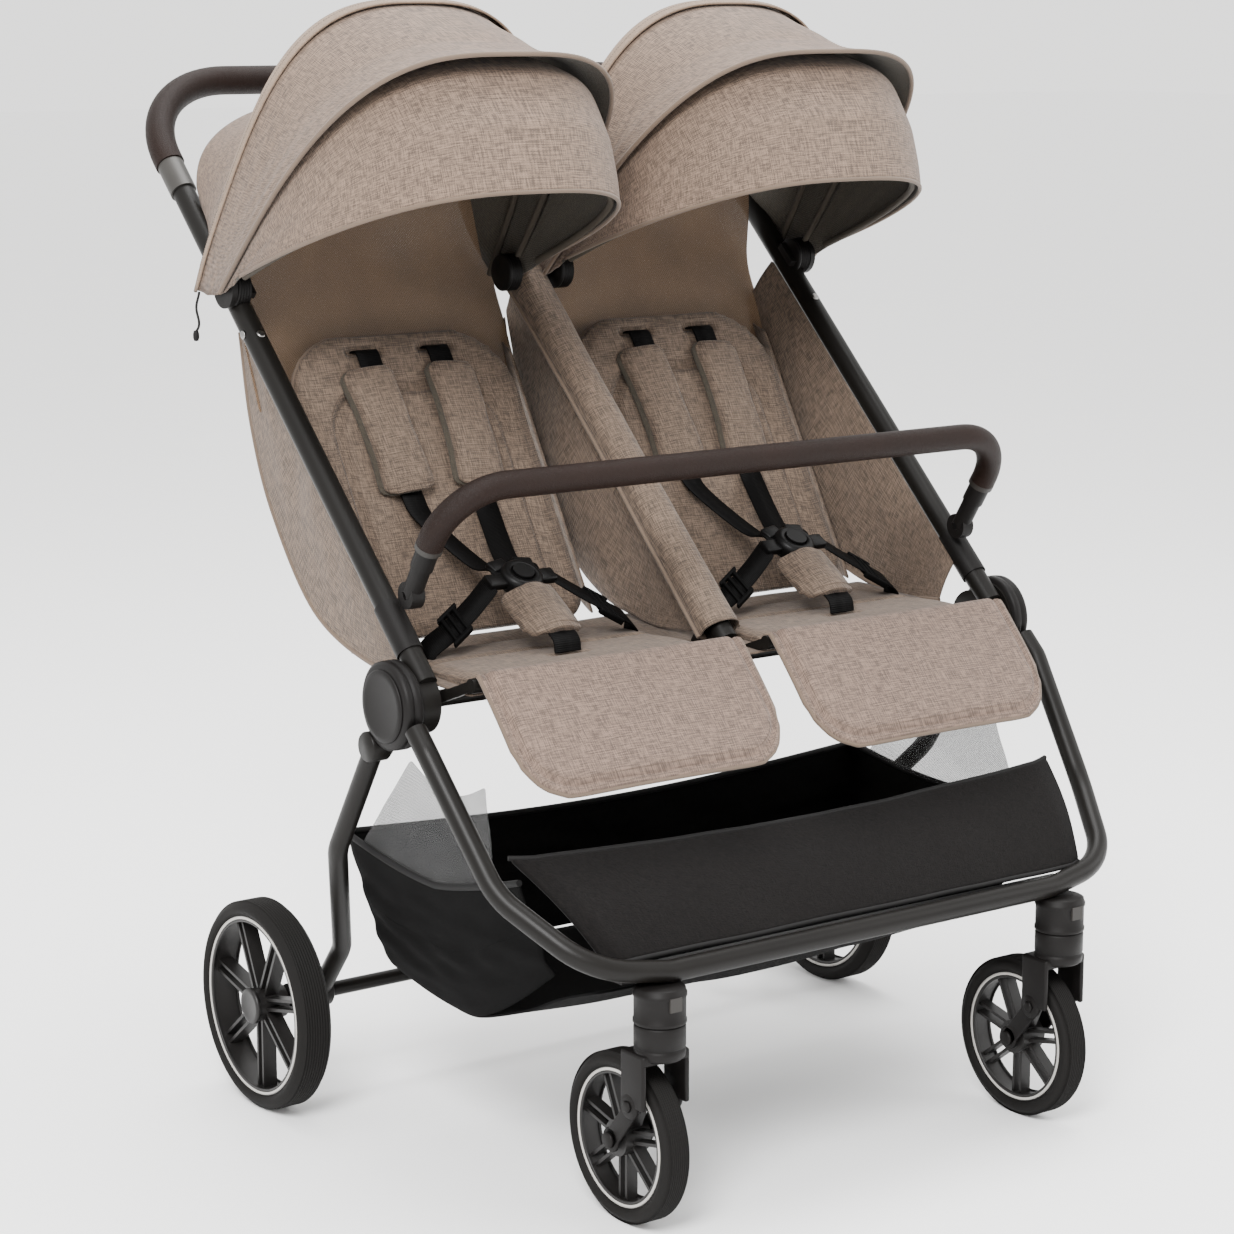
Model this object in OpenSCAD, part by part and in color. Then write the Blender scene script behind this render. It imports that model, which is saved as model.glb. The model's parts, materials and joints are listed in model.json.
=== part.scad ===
// Side-by-side twin travel stroller that folds at two hubs.
// +X is across the stroller, the seats face -Y, +Z is up and the floor is at z = 0.

/* [Overall] */
// Length along the floor, from the front tyres to the back of the handle
depth = 836; // [780:1:900]
// Distance between the front and the rear axles
wheelbase = 460; // [430:1:500]
// Height of the folding hub above the floor
hub_z = 466; // [440:1:500]
// Distance from the rear axle forward to the folding hub
hub_ahead = 266; // [240:1:290]
// Distance between the centre planes of the two push tubes
tube_span = 696; // [660:1:760]
// Slope of the push tubes above the floor, in degrees
push_tilt = 43.5; // [40:0.5:48]

/* [Tubes] */
// Radius of the push tubes
tube_r = 11.5; // [9:0.5:12]
// How far the push tubes pass above the hub's axis
tube_rise = 27; // [24:0.5:32]
// Radius of the front frame tube
leg_r = 10; // [8:0.5:11]
// Radius of the axle tube that joins the hubs
hub_axle_r = 8; // [6:0.5:9]
// Radius of the tube at the front edge of the seats
seat_tube_r = 7; // [5:0.5:8]
// Radius of the rear cross tube
cross_tube_r = 7.5; // [6:0.5:9]
// Gap all round a pin that turns in its hole
run_gap = 0.05; // [0.03:0.01:0.1]
// Gap between pieces that pass one another
pass_gap = 0.8; // [0.5:0.1:1.5]

/* [Handle and guard] */
// Radius of the handle's leather grip
grip_r = 15; // [13:0.5:17]
// Bend radius at the handle's corners
handle_bend_r = 110; // [90:1:130]
// Radius of the bumper bar's leather cover
guard_r = 13; // [11:0.5:15]
// Distance from the bumper bar's pivot to its cross bar
guard_reach = 126; // [120:1:150]
// Bend radius at the bumper bar's corners
guard_bend_r = 62; // [50:1:80]
// Distance between the two arms of the bumper bar
guard_span = 676; // [670:1:690]

/* [Wheels] */
// Radius of a rear tyre
rear_wheel_r = 107; // [95:1:120]
// Distance between the centre planes of the rear wheels
rear_track = 733; // [700:1:780]
// Width of a rear tyre
rear_tyre_w = 38; // [30:1:42]
// Radius of a front tyre
front_wheel_r = 81; // [72:1:90]
// Distance between the centre planes of the front wheels
front_track = 489; // [440:1:520]
// Width of a front tyre
front_tyre_w = 30; // [24:1:34]
// Depth of a tyre from its tread to the rim
tyre_depth = 15; // [12:0.5:18]
// Radius of the wheel axles
axle_r = 5; // [4:0.5:6]
// How far a front axle trails behind its swivel
caster_trail = 48.5; // [40:0.5:56]
// Radius of a caster post
post_r = 24; // [20:0.5:26]
// Number of double spokes in a wheel
spokes = 7; // [5:1:9]

/* [Seats] */
// Width of one seat
seat_w = 292; // [270:1:292]
// Thickness of a seat pad
pad_t = 18; // [12:1:24]
// Length of a backrest
back_len = 352; // [320:1:380]
// Slope of a backrest above the floor, in degrees
back_tilt = 59.5; // [54:0.5:64]
// How far a backrest reclines, in degrees
recline = 30; // [20:1:35]
// Width of one leg rest
rest_w = 310; // [280:1:312]
// Length of a leg rest
rest_len = 122; // [100:1:140]
// Thickness of a leg rest
rest_t = 14; // [10:1:18]
// Slope of a leg rest below the floor's level, in degrees
rest_tilt = 50; // [40:1:60]

/* [Canopies] */
// Width of one canopy
canopy_w = 356; // [340:1:362]
// Height of the canopy's top above its hinge
canopy_r = 282; // [250:1:300]
// Radius of the canopy's shoulders
shoulder_r = 140; // [110:1:160]
// Thickness of the canopy cloth and its lining
cloth_t = 2.5; // [2:0.5:4]
// Step in radius from one canopy panel to the panel that slides over it
panel_step = 12; // [10:0.5:14]

/* [Basket] */
// Height of the basket floor above the ground
basket_z = 166; // [164:1:180]
// Height of the basket's rim above the ground
basket_rim_z = 300; // [270:1:315]
// Thickness of the basket's walls
basket_t = 3; // [2:0.5:5]

/* [Hidden] */
$fn = 96;

// Main stations along the stroller
front_axle_y = -depth / 2 + front_wheel_r;
rear_axle_y = front_axle_y + wheelbase;
hub_y = rear_axle_y - hub_ahead;
tube_x = tube_span / 2;
handle_s = (depth / 2 - grip_r - hub_y + tube_rise * sin(push_tilt)) / cos(push_tilt);

// Lateral layers at each hub, from the push tube outwards
plate_t = 3;
plate_x = tube_x + tube_r + pass_gap;
shell_x = plate_x + plate_t;
shell_w = 19;
hub_r = 42;
hub_cap_r = 34;
leg_x = shell_x + leg_r + 0.5;

// Sweeps and bends
tube_sides = 20;
bend_steps = 7;

function unit(v) = v / norm(v);

// Points of a path whose corners are rounded by arcs; points = [[point, bend radius], ...]
function bent(points) = [
    for (i = [0 : len(points) - 1])
        let (p = points[i][0], r = points[i][1])
        if (i == 0 || i == len(points) - 1 || r == 0) p
        else
            let (
                a = unit(points[i - 1][0] - p),
                b = unit(points[i + 1][0] - p),
                half = acos(a * b) / 2,
                middle = p + unit(a + b) * r / sin(half),
                from = unit(p + a * r / tan(half) - middle),
                to = unit(p + b * r / tan(half) - middle),
                turn = 180 - 2 * half
            )
            for (k = [0 : bend_steps])
                middle + r * (from * sin(turn * (1 - k / bend_steps))
                    + to * sin(turn * k / bend_steps)) / sin(turn)
];

// Closed solid through rings of points, with flat ends
module skin(rings) {
    n = len(rings[0]);
    last = len(rings) - 1;
    polyhedron(
        points = [for (ring = rings) each ring],
        faces = concat(
            [for (k = [0 : n / 2 - 2]) each [[k, k + 1, n - 2 - k], [k, n - 2 - k, n - 1 - k]]],
            [for (k = [0 : n / 2 - 2])
                each [[n - 2 - k, k + 1, k] + last * n * [1, 1, 1], [n - 1 - k, n - 2 - k, k] + last * n * [1, 1, 1]]],
            [for (i = [0 : last - 1], k = [0 : n - 1])
                [i * n + k, (i + 1) * n + k, (i + 1) * n + (k + 1) % n]],
            [for (i = [0 : last - 1], k = [0 : n - 1])
                [i * n + k, (i + 1) * n + (k + 1) % n, i * n + (k + 1) % n]]
        ),
        convexity = 6
    );
}

// Round tube along a path; up is never parallel to the path
module tube_along(path, r, up, sides = tube_sides) {
    last = len(path) - 1;
    skin([
        for (i = [0 : last])
            let (
                before = i == 0 ? unit(path[1] - path[0]) : unit(path[i] - path[i - 1]),
                after = i == last ? before : unit(path[i + 1] - path[i]),
                along = unit(before + after),
                side = unit(cross(along, up)),
                top = cross(side, along),
                miter = 1 / max(0.5, along * after)
            )
            [for (k = [0 : sides - 1])
                let (w = unit(side), a = 360 * k / sides)
                path[i] + r * (w * cos(a) * miter + top * sin(a))]
    ]);
}

// Cylinder along X, centred on x
module pin_x(x, y, z, r, w) {
    translate([x - w / 2, y, z])
        rotate([0, 90, 0]) cylinder(r = r, h = w);
}

module both_sides() {
    children();
    mirror([1, 0, 0]) children();
}

// Frame of the push tubes: Y runs up along them from the hub's axis, Z is away from the rider's back
module on_push() {
    translate([0, hub_y, hub_z]) rotate([push_tilt, 0, 0]) children();
}

function push_point(s, n) = [
    hub_y + s * cos(push_tilt) - n * sin(push_tilt),
    hub_z + s * sin(push_tilt) + n * cos(push_tilt)
];

// ---------- front frame ----------
front_bar_y = front_axle_y - caster_trail + 1;
front_bar_z = 248;
leg_start = [leg_x, hub_y - hub_r * 0.93 - 3, hub_z - hub_r * 0.37];
leg_points = [
    [leg_start, 0],
    [[leg_x, hub_y - 62, hub_z - 34], 40],
    [[leg_x - 16, hub_y - 150, hub_z - 150], 90],
    [[leg_x - 62, front_bar_y + 8, front_bar_z + 12], 74],
    [[leg_x - 140, front_bar_y, front_bar_z], 60]
];
front_half = bent(leg_points);

module front_tube() {
    other_half = [for (i = [len(front_half) - 1 : -1 : 0])
        [-front_half[i][0], front_half[i][1], front_half[i][2]]];
    color("#262321") tube_along(concat(front_half, other_half), leg_r, unit([0, -0.66, 0.75]));
}

rear_pivot = [hub_y + 30, hub_z - 44];
rear_eye_r = 9;

module hub_plates() {
    color("#2b2725") both_sides() difference() {
        union() {
            pin_x(plate_x + plate_t / 2, hub_y, hub_z, hub_r - 6, plate_t);
            pin_x(plate_x + plate_t / 2, rear_pivot[0], rear_pivot[1], rear_eye_r + 2, plate_t);
            translate([plate_x, hub_y, hub_z]) rotate([-55.7, 0, 0])
                translate([0, 0, -rear_eye_r]) cube([plate_t, norm([30, 44]), 2 * rear_eye_r]);
        }
        pin_x(tube_x, hub_y, hub_z, hub_axle_r, 60);
        pin_x(tube_x, rear_pivot[0], rear_pivot[1], axle_r, 80);
    }
}

module hub_shells() {
    color("#2a2624") both_sides() difference() {
        pin_x(shell_x + shell_w / 2, hub_y, hub_z, hub_r, shell_w);
        pin_x(shell_x, hub_y, hub_z, hub_axle_r, 20);
    }
}

module hub_caps() {
    color("#332f2c") both_sides()
        pin_x(shell_x + shell_w + 1.5, hub_y, hub_z, hub_cap_r, 3);
}

seat_front_y = hub_y - 58;
seat_front_z = hub_z + 22;
rail_x = tube_x - tube_r - 18;
rail_w = 6;
rail_in = tube_r + 5.5;
rail_tilt = atan2(seat_front_z - hub_z, hub_y - seat_front_y);
rail_len = norm([hub_y - seat_front_y, seat_front_z - hub_z]);

module seat_rails() {
    color("#262321") {
        pin_x(0, hub_y, hub_z, hub_axle_r, 2 * shell_x + 16);
        both_sides() pin_x((rail_in + rail_x + rail_w) / 2, seat_front_y, seat_front_z,
            seat_tube_r, rail_x + rail_w - rail_in);
        for (x = [-rail_x - rail_w, -rail_in - rail_w, rail_in, rail_x])
            translate([x, hub_y, hub_z]) rotate([-rail_tilt, 0, 0])
                translate([0, -rail_len, -5]) cube([rail_w, rail_len, 10]);
    }
}

seat_x = rail_in + rail_w + 1 + seat_w / 2;
bight = [hub_y + 148, hub_z + 12];

// Plain cushion with rounded side edges, its underside on the plane z = 0, running towards -Y
module cushion(w, l, t) {
    translate([-w / 2 + t / 2, -l, 0]) cube([w - t, l, t]);
    for (s = [-1, 1])
        translate([s * (w / 2 - t / 2), 0, t / 2]) rotate([90, 0, 0]) cylinder(r = t / 2 - 0.01, h = l);
}

module seat_pad(x) {
    rise = 2.5;
    color("#a59282") translate([x, bight[0] - 14, hub_z + hub_axle_r + 1.5]) rotate([-rise, 0, 0])
        cushion(seat_w, bight[0] - 14 - seat_front_y - seat_tube_r - 8, pad_t);
}

module seat_pad_left() seat_pad(-seat_x);

module seat_pad_right() seat_pad(seat_x);

crotch_y = hub_y + 20;
crotch_z = hub_z + hub_axle_r + pad_t + 9;
crotch_tilt = 30;
crotch_len = 62;
crotch_w = 62;
crotch_t = 12;

module at_crotch(side) {
    translate([side * seat_x, crotch_y, crotch_z]) rotate([crotch_tilt, 0, 0]) children();
}

module crotch_pads() {
    color("#a08d7e") for (side = [-1, 1]) at_crotch(side)
        translate([-crotch_w / 2, 0, 0]) cube([crotch_w, crotch_len, crotch_t]);
}

buckle_r = 22;
button_r = 11;
button_travel = 2.5;

module buckles() {
    color("#191817") for (side = [-1, 1]) at_crotch(side)
        translate([0, crotch_len + buckle_r + 1, -2]) difference() {
            union() {
                cylinder(r = buckle_r, h = 18);
                translate([-38, -9, 2]) cube([76, 18, 11]);
            }
            translate([0, 0, 18 - 6]) cylinder(r = button_r + 0.4, h = 8);
        }
}

module buckle_button(side) {
    color("#242220") at_crotch(side)
        translate([0, crotch_len + buckle_r + 1, 12 - 2 + button_travel + 0.3]) cylinder(r = button_r, h = 5);
}

module buckle_button_left() buckle_button(-1);

module buckle_button_right() buckle_button(1);

caster_x = front_track / 2;
caster_y = front_axle_y - caster_trail;
socket_top = front_bar_z - leg_r - 0.3;
socket_bottom = 204;
stem_r = 8;
stem_len = 26;

module caster_sockets() {
    color("#211f1d") for (side = [-1, 1]) translate([side * caster_x, caster_y, 0]) difference() {
        translate([0, 0, socket_bottom]) cylinder(r = post_r, h = socket_top - socket_bottom);
        translate([0, 0, socket_bottom - 1]) cylinder(r = stem_r + run_gap, h = stem_len + 2);
        translate([-7, -post_r - 1, socket_bottom + 14]) cube([14, 9, 14]);
    }
}

module caster_release(side) {
    color("#3a3633") translate([side * caster_x, caster_y, socket_bottom + 14.5])
        translate([-6.5, -post_r - 1, 0]) cube([13, 5.5, 13]);
}

module caster_release_left() caster_release(-1);

module caster_release_right() caster_release(1);

// Basket: an open tray between the legs, its floor raised at the front where the casters turn
basket_floor_half = 285;
basket_rim_half = leg_x - 48;
basket_back_y = rear_axle_y - 90;
basket_mid_y = basket_back_y - 170;
basket_front_y = front_bar_y + 38;
basket_sag = 20;
basket_lift = 60;

// Ring of the tray at one level: half width, insets for the wall, and a rise of the whole ring
function tray_ring(half, inset, rise, front, lift, sag) = [
    [half - inset, front + inset, basket_z + lift + rise],
    [half - inset, basket_mid_y, basket_z + rise],
    [half - inset, basket_back_y - inset, basket_z - sag + rise],
    [-half + inset, basket_back_y - inset, basket_z - sag + rise],
    [-half + inset, basket_mid_y, basket_z + rise],
    [-half + inset, front + inset, basket_z + lift + rise]
];

module basket() {
    rim_rise = basket_rim_z - basket_z;
    rim_front_y = basket_front_y + 66;
    color("#1d1c1c") difference() {
        skin([
            tray_ring(basket_floor_half, 0, 0, basket_front_y, basket_lift, basket_sag),
            tray_ring(basket_rim_half, 0, rim_rise, rim_front_y, 20, 0)
        ]);
        skin([
            tray_ring(basket_floor_half, basket_t, basket_t, basket_front_y, basket_lift, basket_sag),
            tray_ring(basket_rim_half, basket_t, rim_rise + 0.5, rim_front_y, 20, 0)
        ]);
    }
}

panel_low = [front_bar_y + 14, front_bar_z + 12];
panel_high = [hub_y - 134, hub_z - 124];

module basket_front() {
    lean = atan2(panel_high[1] - panel_low[1], panel_high[0] - panel_low[0]);
    half_low = leg_x - 96;
    half_high = leg_x - 48;
    color("#3b3836") translate([0, panel_low[0], panel_low[1]]) rotate([lean, 0, 0])
        linear_extrude(height = basket_t) polygon([
            [-half_low, 0], [half_low, 0],
            [half_high, norm(panel_high - panel_low)], [-half_high, norm(panel_high - panel_low)]
        ]);
}

module front_ledge() {
    color("#24211f") translate([-(leg_x - 96), front_bar_y + 11, front_bar_z - 8])
        cube([2 * (leg_x - 96), 34, 4]);
}

// ---------- push frame ----------
knuckle_r = 30;
knuckle_w = 2 * tube_r - 3;
clip_s = handle_s - 145;
clip_len = 26;

module push_tubes() {
    color("#262321") on_push() difference() {
        for (x = [-tube_x, 0, tube_x]) {
            top = x == 0 ? handle_s - grip_r - 0.3 : clip_s + clip_len - 2;
            translate([x, 0, tube_rise]) rotate([-90, 0, 0]) cylinder(r = tube_r, h = top);
            pin_x(x, 0, 0, knuckle_r, knuckle_w);
        }
        for (x = [-tube_x, 0, tube_x])
            pin_x(x, 0, 0, hub_axle_r + run_gap, 2 * tube_r + 2);
    }
}

module handle_grip() {
    path = bent([
        [[-tube_x, clip_s + clip_len, tube_rise], 0],
        [[-tube_x, handle_s, tube_rise], handle_bend_r],
        [[tube_x, handle_s, tube_rise], handle_bend_r],
        [[tube_x, clip_s + clip_len, tube_rise], 0]
    ]);
    color("#3e302c") on_push() tube_along(path, grip_r, [0, 0, 1]);
}

module handle_clips() {
    color("#8b8a89") on_push() for (x = [-tube_x, tube_x])
        translate([x, clip_s - 12, tube_rise]) rotate([-90, 0, 0]) difference() {
            cylinder(r = tube_r + 2, h = clip_len + 11.5);
            translate([0, 0, -1]) cylinder(r = tube_r, h = clip_len + 14);
        }
}

housing_w = 70;
housing_l = 46;
trigger_travel = 8;
housing_rise = 17;
trigger_drop = 4;

module at_trigger() {
    on_push() translate([0, handle_s - grip_r - 4 - housing_l, tube_rise - housing_rise]) children();
}

module trigger_housing() {
    color("#211f1d") at_trigger() difference() {
        translate([-housing_w / 2, 0, 0]) cube([housing_w, housing_l, 2 * housing_rise]);
        translate([0, -1, housing_rise]) rotate([-90, 0, 0]) cylinder(r = tube_r, h = housing_l + 2);
        translate([-26, -1, -1]) cube([52, 21 + trigger_travel, housing_rise - tube_r + 1.5]);
        translate([22, 30, 28]) cylinder(r = 7.4, h = 7);
    }
}

module fold_trigger() {
    color("#4a4542") at_trigger() translate([-25, 0, -trigger_drop])
        cube([50, 20, trigger_drop + housing_rise - tube_r - 0.5]);
}

module fold_button() {
    color("#55504c") at_trigger() translate([22, 30, 32.4]) cylinder(r = 7, h = 5);
}

canopy_s = 480;
canopy_n = 40;
canopy_x = canopy_w / 2 + 14;
hinge_point = push_point(canopy_s, canopy_n);
mount_r = 20;

module canopy_mounts() {
    color("#1f1d1c") on_push() for (side = [-1, 1]) {
        translate([side > 0 ? tube_x + tube_r + 0.3 : -tube_x - tube_r - 6.3, canopy_s, canopy_n])
            rotate([0, 90, 0]) cylinder(r = mount_r, h = 6);
        translate([side > 0 ? tube_x - tube_r : -tube_x - tube_r, canopy_s - 14, tube_rise + tube_r + 0.3])
            cube([2 * tube_r, 28, 8]);
    }
}

shoulder_steps = 8;

// Half-turn profile of a canopy bow: [across, away from the hinge], from one foot over the top to the other
function bow(half_w, r, bend, foot) = concat(
    [[-half_w, foot]],
    [for (k = [0 : shoulder_steps])
        let (a = 90 * k / shoulder_steps)
        [-half_w + bend * (1 - cos(a)), r - bend + bend * sin(a)]],
    [for (k = [shoulder_steps : -1 : 0])
        let (a = 90 * k / shoulder_steps)
        [half_w - bend * (1 - cos(a)), r - bend + bend * sin(a)]],
    [[half_w, foot]]
);

// Ring of points of one bow of cloth, standing at an angle above the forward direction
function cloth_ring(x, inset, r, angle, at, foot, bend = shoulder_r) =
    let (
        outer = bow(canopy_w / 2 - inset, r, bend, foot),
        inner = bow(canopy_w / 2 - inset - cloth_t, r - cloth_t, bend - cloth_t, foot),
        loop = concat(outer, [for (i = [len(inner) - 1 : -1 : 0]) inner[i]])
    )
    [for (p = loop) [x + p[0], at[0] - p[1] * cos(angle), at[1] + p[1] * sin(angle)]];

canopy_foot = 26;
rear_from = 60;
rear_to = 76;
front_from = 46;
front_to = 74;
visor_from = 18;
visor_to = 48;
sector_steps = 4;

// Part of the canopy that turns as one piece about the hinge
module cloth_sector(side, layer, from, to) {
    skin([for (i = [0 : sector_steps])
        cloth_ring(side * canopy_x, 3 * (2 - layer), canopy_r + panel_step * layer,
            from + (to - from) * i / sector_steps, hinge_point, canopy_foot + 3 * layer)]);
}

module canopy_rear(side) {
    back_at = push_point(canopy_s + 130, tube_rise + tube_r + 8);
    back_inset = 40;
    color("#9d8b7b") skin([
        cloth_ring(side * canopy_x, 6, canopy_r, rear_from, hinge_point, canopy_foot),
        cloth_ring(side * canopy_x, 6, canopy_r, (rear_from + rear_to) / 2, hinge_point, canopy_foot),
        cloth_ring(side * canopy_x, 6, canopy_r, rear_to, hinge_point, canopy_foot),
        cloth_ring(side * canopy_x, back_inset, 80, 90, back_at, 6, 60)
    ]);
}

module canopy_rear_left() canopy_rear(-1);

module canopy_rear_right() canopy_rear(1);

module canopy_front_left() color("#a39080") cloth_sector(-1, 1, front_from, front_to);

module canopy_front_right() color("#a39080") cloth_sector(1, 1, front_from, front_to);

module visor_left() color("#a89585") cloth_sector(-1, 2, visor_from, visor_to);

module visor_right() color("#a89585") cloth_sector(1, 2, visor_from, visor_to);

wing_t = 1.5;

// Side walls of the seats, from the push tubes back to the backrests
module seat_wings() {
    inner = tube_x - tube_r - 2;
    outline = [
        [hub_y + 30, hub_z + 46], push_point(470, 0), [hub_y + 352, hub_z + 316],
        [hub_y + 323, hub_z + 208], [hub_y + 217, hub_z + 61], [hub_y + 120, hub_z + 16], [hub_y + 40, hub_z + 14]
    ];
    color("#94826f") for (x = [-inner, inner - wing_t])
        translate([x, 0, 0]) rotate([90, 0, 90]) linear_extrude(height = wing_t) polygon(outline);
}

module at_back(side) {
    translate([side * seat_x, bight[0], bight[1]]) rotate([back_tilt, 0, 0]) children();
}

module backrest(side) {
    color("#9e8c7c") at_back(side) mirror([0, 1, 0]) translate([0, -4, -pad_t]) cushion(seat_w, back_len - 4, pad_t);
    color("#9e8c7c") at_back(side) difference() {
        pin_x(0, 0, -pad_t / 2, pad_t / 2, seat_w - 40);
        pin_x(0, 0, -pad_t / 2, 3, seat_w);
    }
}

module backrest_left() backrest(-1);

module backrest_right() backrest(1);

shoulder_gap = 84;
shoulder_w = 50;
shoulder_len = 135;
shoulder_t = 16;

module shoulder_pads(side) {
    color("#a4917f") at_back(side) for (x = [-shoulder_gap / 2, shoulder_gap / 2])
        translate([x - shoulder_w / 2, back_len - 50 - shoulder_len, 0.5])
            cube([shoulder_w, shoulder_len, shoulder_t]);
}

module shoulder_pads_left() shoulder_pads(-1);

module shoulder_pads_right() shoulder_pads(1);

rest_x = rest_w / 2 + 14;
lug_w = 24;

module leg_rest(side) {
    color("#a69488") translate([side * rest_x, seat_front_y, seat_front_z]) rotate([rest_tilt, 0, 0]) {
        translate([0, -seat_tube_r - 6, -rest_t / 2 + 4]) cushion(rest_w, rest_len, rest_t);
        for (x = [-rest_w / 4, rest_w / 4])
            difference() {
                union() {
                    pin_x(x, 0, 0, seat_tube_r + 4, lug_w);
                    translate([x - lug_w / 2, -seat_tube_r - 8, -3]) cube([lug_w, seat_tube_r + 4, 6]);
                }
                pin_x(x, 0, 0, seat_tube_r + run_gap, lug_w + 2);
            }
    }
}

module leg_rest_left() leg_rest(-1);

module leg_rest_right() leg_rest(1);

// ---------- bumper bar ----------
guard_s = 81;
guard_n = 56;
guard_pivot = push_point(guard_s, guard_n);
guard_tilt = 122.6;
guard_x = guard_span / 2;
bracket_len = 34;

// Frame of the bumper bar: Y runs along its arms away from the pivot
module on_guard() {
    translate([0, guard_pivot[0], guard_pivot[1]]) rotate([guard_tilt, 0, 0]) children();
}

module guard_brackets() {
    color("#1f1d1c") on_guard() both_sides() translate([guard_x, 0, 0]) difference() {
        union() {
            rotate([-90, 0, 0]) cylinder(r = 9.5, h = bracket_len);
            pin_x(0, 0, 0, 13, 14);
        }
        pin_x(0, 0, 0, 4, 40);
        translate([0, bracket_len - 18, 0]) rotate([-90, 0, 0]) cylinder(r = 6 + run_gap, h = 40);
    }
}

module guard_adapters() {
    color("#23201e") on_guard() both_sides() translate([guard_x, bracket_len + 0.3, 0]) {
        rotate([-90, 0, 0]) cylinder(r = 11, h = 26);
        translate([0, -17, 0]) rotate([-90, 0, 0]) cylinder(r = 6, h = 18);
    }
}

module guard_bar() {
    start = bracket_len + 26.6;
    path = bent([
        [[-guard_x, start, 0], 0],
        [[-guard_x, guard_reach, 0], guard_bend_r],
        [[guard_x, guard_reach, 0], guard_bend_r],
        [[guard_x, start, 0], 0]
    ]);
    color("#3f322e") on_guard() tube_along(path, guard_r, [0, 0, 1]);
}

// ---------- rear frame ----------
axle_end_x = rear_track / 2 + rear_tyre_w / 2 - 6;
housing_x = rear_track / 2 - rear_tyre_w / 2 - 34;
rear_leg_r = 9.5;
rear_leg_in = 304;

module rear_legs() {
    for (side = [1, -1]) {
        path = bent([
            [[side * leg_x, rear_pivot[0], rear_pivot[1]], 0],
            [[side * (leg_x - 3), rear_pivot[0] + 78, rear_pivot[1] - 118], 60],
            [[side * rear_leg_in, rear_axle_y - 48, rear_wheel_r + 60], 60],
            [[side * rear_leg_in, rear_axle_y, rear_wheel_r], 0]
        ]);
        color("#2a2624") {
            difference() {
                tube_along(path, rear_leg_r, [1, 0, 0], 16);
                pin_x(side * leg_x, rear_pivot[0], rear_pivot[1], rear_eye_r - 2, 40);
                pin_x(side * rear_leg_in, rear_axle_y, rear_wheel_r, cross_tube_r + 0.3, 60);
            }
        }
    }
}

module rear_cross_tube() {
    color("#262321") {
        pin_x(0, rear_axle_y, rear_wheel_r, cross_tube_r, 2 * housing_x - 30);
        pin_x(0, rear_axle_y, rear_wheel_r, axle_r, 2 * axle_end_x);
        both_sides() difference() {
            pin_x(leg_x, rear_pivot[0], rear_pivot[1], rear_eye_r - 2.3, 2 * rear_leg_r);
            pin_x(leg_x, rear_pivot[0], rear_pivot[1], axle_r + run_gap, 40);
        }
    }
}

module brake_housings() {
    color("#211f1d") both_sides() difference() {
        pin_x(housing_x + 14, rear_axle_y, rear_wheel_r, 15, 26);
        pin_x(housing_x + 14, rear_axle_y, rear_wheel_r, axle_r, 60);
    }
}

module brake_pedal() {
    x = rear_leg_in - 40;
    color("#3a3633") difference() {
        union() {
            pin_x(x, rear_axle_y, rear_wheel_r, cross_tube_r + 4, 30);
            translate([x - 13, rear_axle_y + 8, rear_wheel_r - 3]) rotate([20, 0, 0]) cube([26, 44, 6]);
        }
        pin_x(x, rear_axle_y, rear_wheel_r, cross_tube_r + run_gap, 40);
    }
}

// ---------- wheels ----------
module tyre(x, y, r, w) {
    color("#2c2a29") translate([x, y, r]) rotate([0, 90, 0]) rotate_extrude()
        polygon([
            [r - tyre_depth, -w / 2 + 4], [r - 8, -w / 2], [r - 3, -w / 2 + 3], [r, -w / 2 + 9],
            [r, w / 2 - 9], [r - 3, w / 2 - 3], [r - 8, w / 2], [r - tyre_depth, w / 2 - 4]
        ]);
}

module rim(x, y, r, w) {
    hub_w = w - 2;
    inner = r - tyre_depth - 0.3;
    color("#24211f") translate([x, y, r]) rotate([0, 90, 0]) difference() {
        union() {
            difference() {
                cylinder(r = inner, h = w - 8, center = true);
                cylinder(r = inner - 5, h = w, center = true);
            }
            cylinder(r = 17, h = hub_w, center = true);
            for (i = [0 : spokes - 1], s = [-1, 1])
                rotate([0, 0, 360 * i / spokes]) translate([15, s * 5 - 1.6, -w / 5])
                    cube([inner - 18, 3.2, w / 2.5]);
        }
        cylinder(r = axle_r + run_gap, h = w + 2, center = true);
    }
}

module rear_tyre_left() tyre(-rear_track / 2, rear_axle_y, rear_wheel_r, rear_tyre_w);

module rear_rim_left() rim(-rear_track / 2, rear_axle_y, rear_wheel_r, rear_tyre_w);

module rear_tyre_right() tyre(rear_track / 2, rear_axle_y, rear_wheel_r, rear_tyre_w);

module rear_rim_right() rim(rear_track / 2, rear_axle_y, rear_wheel_r, rear_tyre_w);

module front_tyre_left() tyre(-front_track / 2, front_axle_y, front_wheel_r, front_tyre_w);

module front_rim_left() rim(-front_track / 2, front_axle_y, front_wheel_r, front_tyre_w);

module front_tyre_right() tyre(front_track / 2, front_axle_y, front_wheel_r, front_tyre_w);

module front_rim_right() rim(front_track / 2, front_axle_y, front_wheel_r, front_tyre_w);

// ---------- casters ----------
fork_gap = front_tyre_w / 2 + 2;
arm_t = 4;
yoke_t = 5;
swing_pivot = [caster_y + 12, front_wheel_r + 44];
yoke_z = 2 * front_wheel_r + 6;

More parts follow.
